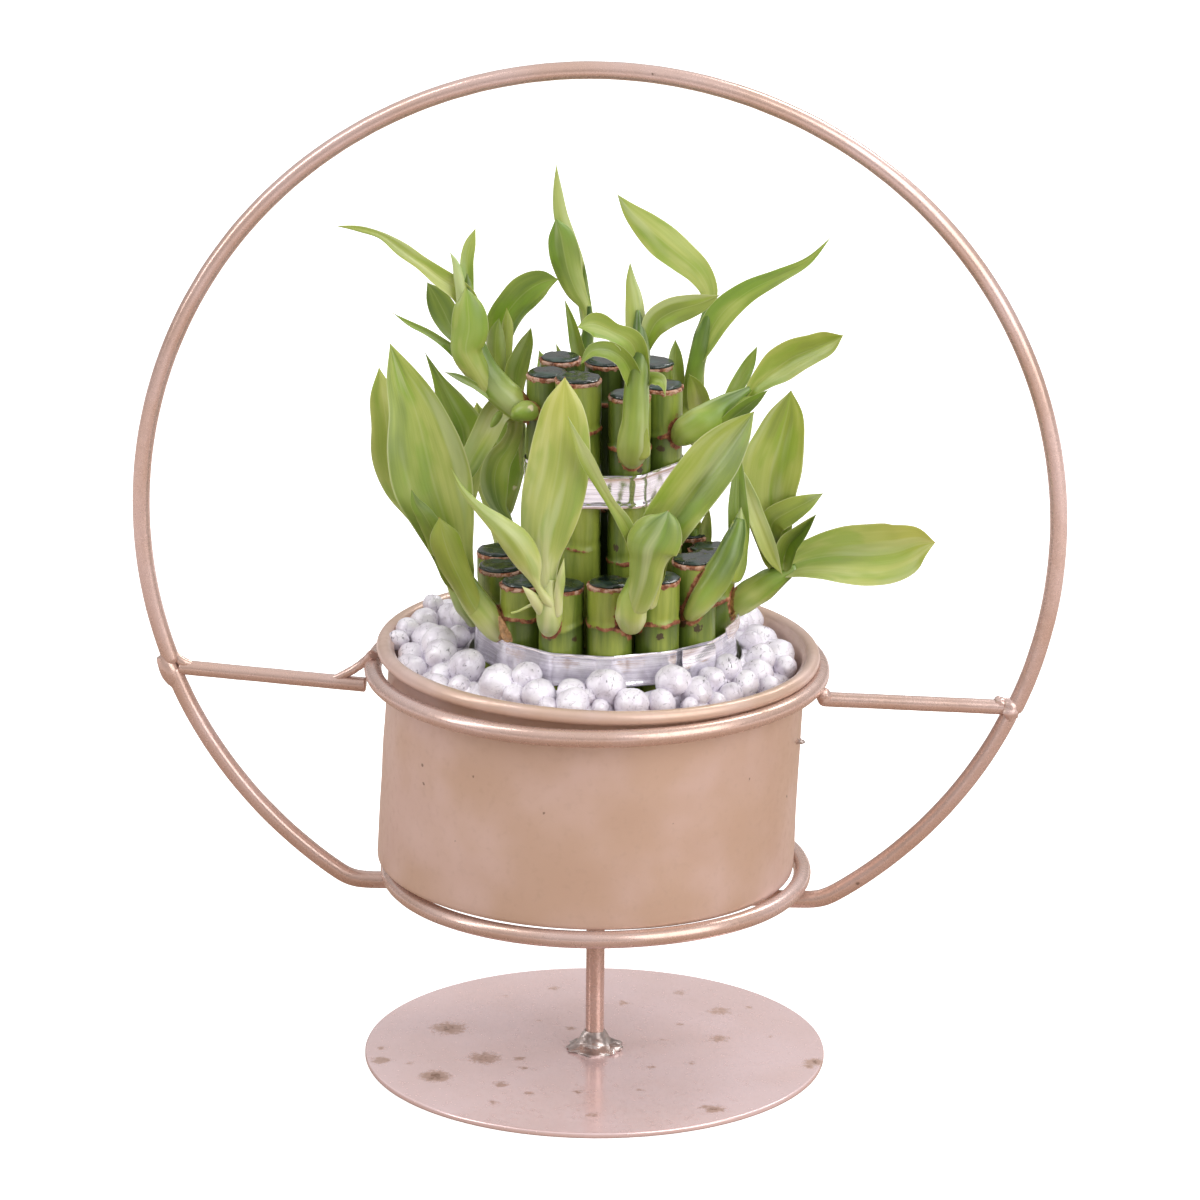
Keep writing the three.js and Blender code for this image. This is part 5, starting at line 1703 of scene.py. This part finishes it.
# The beads that the photo shows: x, y, z and radius.
SEEN_BEADS: tuple[Row, ...] = (
    (-46.3, 23.4, 119.7, 2.7), (-42.9, 27.9, 115.8, 3.8), (-48.1, 17.1, 116.5, 3.9), (-51.4, 6.5, 117.5, 3.5),
    (-53.5, 0, 116.7, 3.1), (-48.9, -6, 113.7, 4.3), (-42, -5.7, 117.5, 4.9), (-37.2, -1.4, 118.5, 3.3),
    (-33, -23, 117.4, 4.9), (-23.5, -36.5, 117, 5.3), (-39.7, -24.1, 115.3, 2.7), (-34.1, -32.7, 114.7, 3.2),
    (-18.8, -41.1, 115.7, 3.2), (-12.3, -42, 116.5, 4.4), (-3.6, -42.2, 117.2, 3.7), (-3, -45.6, 115.2, 4.7),
    (5.1, -40.6, 118.2, 5), (12.3, -43.8, 115, 4.6), (19.9, -41.2, 114.7, 3.9), (22.4, -35, 118.9, 4.6),
    (28.8, -33.6, 115.5, 4.1), (32.2, -26.6, 116.9, 3.6), (36.3, -20.2, 118, 3.7), (31.4, 24.3, 108.3, 2.4),
    (39.2, 30.3, 115.6, 3.8), (36.8, 18.4, 117.1, 2.4), (43.9, 23.2, 112.6, 3.5), (48.2, 14.9, 111.8, 2.6),
    (38.2, 17.6, 111.8, 4.6), (41, 6.2, 116.9, 3.4), (43.9, -3.1, 115.3, 4.1), (43.6, -13.5, 114.4, 4.1),
    (50.4, 0, 112.1, 3.3), (40.7, -21.6, 114.1, 3.7), (37.5, -28.6, 113.5, 3.3), (34, -33.7, 113.2, 2.4),
    (46.8, -16.6, 111.8, 3.2), (4.1, -46, 114.7, 2.4), (-9.5, -45.9, 114.5, 2.6), (27.3, -39.1, 113.4, 2.4),
    (0.8, -43.4, 116.5, 2.4),
)
# Rust on the base plate: x, y, size and strength.
RUST_SPOTS: tuple[Row, ...] = (
    (-40.9, 11.5, 4.1, 0.75), (-43.1, 12, 1.9, 0.6), (-29.3, -10.3, 3.8, 0.7), (-41.3, -24.8, 3.5, 1),
    (-57, -14.2, 2.4, 0.7), (-57.9, -5.3, 1.1, 0.6), (-23.3, -29.1, 1.9, 0.55), (-19.8, -9.5, 1.6, 0.55),
    (3.2, -49.3, 1.6, 0.5), (35, -42.3, 2.4, 0.8), (32.5, -41, 1.3, 0.6), (33.5, 10.3, 2.5, 0.6),
    (32.6, 31.1, 2.8, 0.6), (20.7, 44.9, 2, 0.5), (60.4, -5.5, 2.4, 0.9), (58.9, -8.6, 1.4, 0.7),
    (-7.5, 14.4, 1.4, 0.5), (-17.9, -16.8, 1.4, 0.4), (-14.8, 45, 1.4, 0.4), (-27.6, 37.5, 1, 0.4),
    (5.2, 34.9, 1.9, 0.45), (22.2, 20.1, 1.2, 0.4), (16.3, -13.1, 1.1, 0.5), (27.5, -9.1, 1.1, 0.4),
    (-2, -33.1, 1.3, 0.55), (-15, -35, 1.3, 0.55), (-24.1, -42.3, 1.3, 0.45), (47.6, 13.1, 0.8, 0.5),
    (40.4, 34.9, 1.1, 0.55), (18.3, 7.5, 1.1, 0.4), (14.5, -30.2, 1.1, 0.4), (-49, -15.8, 1.1, 0.4),
    (-16.5, 19.8, 1.1, 0.35),
)


@dataclass
class Foliage:
    """All the shoots with their leaves."""

    finishes: Finishes
    tiers: Sequence[Tier]
    across: int = 15
    along: int = 40
    stalk_sides: int = 32
    scar_reach: float = 1.2
    pale_reach: float = 9.0
    pale_fade: float = 7.0
    low_pale: float = 0.46
    high_pale: float = 0.3
    root_pale: float = 0.22
    root_part: float = 0.12
    thickness: float = 0.55
    thinning: float = 0.3
    groove: float = 0.3
    waviness: float = 0.075

    def scarred(self, points: Array) -> Array:
        """Dry scar where a stalk leaves a cane: 1.5 less the gap to the cane over scar_reach."""
        far = 9.0
        near = np.full(points.shape[:2], far)
        for tier in self.tiers:
            for place, radius, top in zip(tier.places(), tier.radii, tier.tops):
                gap = np.hypot(points[..., 0] - place[0], points[..., 1] - place[1]) - radius
                near = np.minimum(near, np.where(points[..., 2] < top - 0.5, gap, far))
        return np.clip(1.5 - near / self.scar_reach, 0, 1.2)

    def paleness(self, points: Array, feet: Array) -> Array:
        """Paleness towards a shoot's feet: depth times exp(-(d / pale_fade)^2).

        d is how much farther than pale_reach the nearest foot is, or 0. The depth is low_pale
        on shoots of the lower tier and high_pale on those of the upper tier.
        """
        gap = np.linalg.norm(points[..., None, :] - feet, axis=-1)
        depth = self.low_pale if feet[0, 2] < 150 else self.high_pale
        return depth * bell(np.maximum(gap.min(-1) - self.pale_reach, 0), self.pale_fade)

    def blade(self, blade: Blade, feet: Array, seed: int) -> Skin:
        """One leaf as a closed skin.

        Its section is an arc of radius R = w / sin(min(b, 90)), where b is half the curl:
        (R sin(s b), R (1 - cos(s b))), s from -1 to 1, plus the fold, a midrib groove and
        a wave that grows to the edges. Its thickness is thickness - thinning t in the middle
        and less towards the edges, where t runs from 0 at its foot to 1 at its tip.

        Args:
            blade: the leaf.
            feet: where the stalks of its shoot begin.
            seed: which waves and tone.

        Returns:
            The closed skin with its marks.
        """
        rng = np.random.default_rng(seed)
        t = np.concatenate([[0], 1 - (1 - np.linspace(0.02, 1, self.along)) ** 1.25])[:, None]
        line = through(blade.rows, t[:, 0])
        opened = clamped(t / 0.09)
        path, wide = line[:, :3], np.maximum(line[:, 3:4] * (0.4 + 0.6 * opened * (2 - opened)), 0.06)
        direction, side, face = frames(path, -FRONT)
        side, face = rolled(side, face, math.radians(blade.turn))
        face *= np.sign(face @ FRONT)[:, None]
        foot, middle, tip = blade.curl
        curl = np.radians(foot * (1 - t) * (1 - 2 * t) + 4 * middle * t * (1 - t) + tip * t * (2 * t - 1)) / 2
        sign, half = np.sign(curl), np.maximum(np.abs(curl), 0.06)
        radius = wide / np.sin(np.minimum(half, math.pi / 2))
        over = np.sin(np.linspace(-math.pi / 2, math.pi / 2, self.across))
        s = np.concatenate([over, over[-2:0:-1]])
        skin_side = np.concatenate([np.ones(self.across), -np.ones(self.across - 2)])
        theta = half * s
        lateral = radius * np.sin(theta)
        depth = sign * (radius * (1 - np.cos(theta)) - 0.5 * radius * (1 - np.cos(half)))
        lift = min(blade.fold, 1) * (np.abs(lateral) - 0.5 * wide)
        swell = np.sin(math.pi * clamped(t)) ** 0.7
        pace, start, apart = rng.uniform(1.2, 2.4), rng.uniform(), rng.uniform(0.5, 2)
        wave = np.sin(TURN * (pace * t + start) + np.sign(s) * apart)
        waves = self.waviness * wide * wave * np.abs(s) ** 2 * swell
        groove = -self.groove * sign * bell(s, 0.09) * swell * np.minimum(wide / 4, 1)
        full = 0.5 * (self.thickness - self.thinning * t) * (np.abs(s) <= 0.999)
        thick = skin_side * full * (1 - 0.8 * np.abs(s) ** 4)
        a = lateral - thick * sign * np.sin(theta)
        b = depth + lift + waves + groove + thick * np.cos(theta)
        points = path[:, None] + a[..., None] * side[:, None] + b[..., None] * face[:, None]
        if blade.ragged:
            tear = 3.0 * t**6 * 0.6 * ripple(stacked(s * 6, 0, seed), 5, seed)
            points += tear[..., None] * direction[:, None]
        green, green_tip, yellow, yellow_tip, bloom, bloom_tip = blade.tint.value
        jitter = rng.uniform(-0.05, 0.05)
        span = t + 0 * a
        root = np.maximum(clamped(1 - span / self.root_part) * self.root_pale, self.paleness(points, feet))
        tip_scar = clamped((span - 0.985) / 0.015) * 0.75
        marks = {
            "flow": stacked(s * wide.max(), seed * 9.7, lengths(path)[:, None]),
            "green": clamped(green + (green_tip - green) * span**1.4 + jitter - root),
            "yellow": clamped(yellow + (yellow_tip - yellow) * span**3),
            "bloom": clamped(bloom + (bloom_tip - bloom) * span),
            "side": s + 0 * a,
            "scar": tip_scar + (blade.tint is Tint.DRY),
        }
        return tube(points, marks)

    def stalk(self, rows: tuple[Row, ...], feet: Array, seed: int) -> Skin:
        """A stalk swept along its rows, ribbed lengthwise, pale and scarred at its foot."""
        t = np.linspace(0, 1, 46) ** 1.4
        line = through(rows, t)
        radius = np.maximum(line[:, 3], 0.3)
        points, flow = swept(line[:, :3], radius, self.stalk_sides, -FRONT)
        middle = line[:, None, :3]
        angle = round_angles(self.stalk_sides)
        rib = 1 + 0.03 * np.cos(3 * angle + seed) + 0.05 * ripple(points, 6, seed)
        points = middle + (points - middle) * rib[..., None]
        span = t[:, None] + 0 * angle
        flow[..., :2] *= (radius.mean() / radius)[:, None, None] * np.array([0.7, 0.3])
        marks = {
            "flow": flow + np.array([seed * 11.3, 0, 0]),
            "green": clamped(0.6 + 0.14 * span - self.paleness(points, feet)),
            "yellow": 0.12 * (1 - span),
            "bloom": 0.1 * (1 - span),
            "side": 0.5 + 0 * span,
            "scar": self.scarred(points),
        }
        return tube(points, marks)

    def build(self, shoots: dict[str, Shoot]) -> None:
        """Builds each shoot, stalks and blades together, in the place of its node."""
        for k, (node, shoot) in enumerate(shoots.items()):
            feet = np.array([rows[0][:3] for rows in shoot.stalks])
            skins = [self.stalk(rows, feet, 300 + 10 * k + i) for i, rows in enumerate(shoot.stalks)]
            skins += [self.blade(blade, feet, 500 + 20 * k + i) for i, blade in enumerate(shoot.blades)]
            put_piece(node.replace("shoot", "foliage"), skins, [self.finishes.leaf], node, 75)


# ---------- studio


@dataclass(frozen=True)
class Panel:
    """A soft light: its place and size in metres, and its power."""

    name: str
    place: Row
    size: Row
    power: float


@dataclass(frozen=True)
class Studio:
    """Camera, pale floor and plain soft light. Angles are in radians, places in metres."""

    eye: Row = (0.0, -1.75847, 0.682)
    pan: float = 0.0004
    pitch: float = 0.3044
    roll: float = -0.0064
    round_turn: float = math.radians(4)
    lens: float = 207.0
    aim: Row = (0, 0, 0.13)
    horizon: Row = (1.0, 0.93, 0.88, 1)
    zenith: Row = (1.0, 0.985, 1.0, 1)
    panels: tuple[Panel, ...] = (
        Panel("left_strip", (-1.1, -0.4, 1.05), (1.5, 0.25), 8.5),
        Panel("front_panel", (1.3, -1.1, 0.95), (1.7, 1.5), 25.0),
        Panel("back_panel", (0.8, 0.9, 1.5), (0.9, 0.5), 12.0),
    )

    def stand_up(self, name: str, data: Any, axes: Array | None = None, place: Row = (0, 0, 0)) -> Any:
        """Links a new object, turned by the columns of axes and at a place, and gives it back."""
        thing = bpy.data.objects.new(name, data)
        if axes is not None:
            thing.matrix_world = Matrix([[*axes[i], place[i]] for i in range(3)] + [[0, 0, 0, 1]])
        bpy.context.scene.collection.objects.link(thing)
        return thing

    def place_camera(self) -> None:
        """Places the camera: pan, pitch and roll at the eye, all turned about Z by round_turn."""
        sp, cp, st, ct = math.sin(self.pan), math.cos(self.pan), math.sin(self.pitch), math.cos(self.pitch)
        forward, right = np.array([sp * ct, cp * ct, -st]), np.array([cp, -sp, 0])
        up = np.cross(right, forward)
        right, up = rolled(right, up, -self.roll)
        c, s = math.cos(self.round_turn), math.sin(self.round_turn)
        turn = np.array([[c, -s, 0], [s, c, 0], [0, 0, 1]])
        data = bpy.data.cameras.new("photo_camera")
        data.lens, data.sensor_width, data.clip_start, data.clip_end = self.lens, 36.0, 0.05, 50.0
        axes = turn @ np.stack([right, up, -forward], axis=1)
        bpy.context.scene.camera = self.stand_up("photo_camera", data, axes, turn @ np.array(self.eye))

    def lay_floor(self) -> None:
        """Lays a flat floor, eight metres across, under the base plate."""
        mesh = bpy.data.meshes.new("floor")
        mesh.from_pydata([(-4, -4, 0), (4, -4, 0), (4, 4, 0), (-4, 4, 0)], [], [(0, 1, 2, 3)])
        mesh.materials.append(FloorFinish().material())
        self.stand_up("floor", mesh)

    def light(self) -> None:
        """A pale sky, darker at the horizon, a broad soft key at the right and two fills."""
        world = bpy.data.worlds.new("studio_sky")
        world.use_nodes = True
        bpy.context.scene.world = world
        desk = Desk(world.node_tree)
        way = desk.put("ShaderNodeTexCoord").outputs["Generated"]
        height = desk.put("ShaderNodeSeparateXYZ", {0: way}).outputs["Z"]
        shine = desk.remap(height, -0.05, 0.8, (0.28, 0.84))
        sky = desk.mix(desk.remap(height, 0.0, 0.5), self.horizon, self.zenith)
        desk.feed(world.node_tree.nodes["Background"], {"Strength": shine, "Color": sky})
        for panel in self.panels:
            data = bpy.data.lights.new(panel.name, "AREA")
            data.shape, data.energy = "RECTANGLE", panel.power
            data.size, data.size_y = panel.size
            toward = unit(np.array(self.aim) - np.array(panel.place))
            side = unit(np.cross(np.cross(toward, [0, 0, 1.0]), toward))
            axes = np.stack([side, np.cross(-toward, side), -toward], axis=1)
            self.stand_up(panel.name, data, axes, panel.place)
        bpy.context.scene.view_settings.view_transform = "Standard"

    def build(self) -> None:
        """Sets up the whole studio."""
        self.place_camera()
        self.lay_floor()
        self.light()


def main() -> None:
    logging.basicConfig(level=logging.INFO, format="%(name)s: %(message)s")
    Studio().build()
    finishes = Finishes.mixed()
    Stand(finishes).build()
    Pot(finishes).build()
    BeadHeap(finishes).build()
    feet = np.vstack([through(shoot.stalks[0], np.linspace(0, 0.4, 14)) for shoot in SHOOTS.values()])
    Canes(finishes, feet).build((LOWER, UPPER))
    Ribbon(finishes, LOWER, 116.4, 71, tab=True).build("lower_ribbon", "lower_band")
    Ribbon(finishes, UPPER, 161.4, 81).build("upper_ribbon", "upper_band")
    Foliage(finishes, (LOWER, UPPER)).build(SHOOTS)


if __name__ == "__main__":
    main()
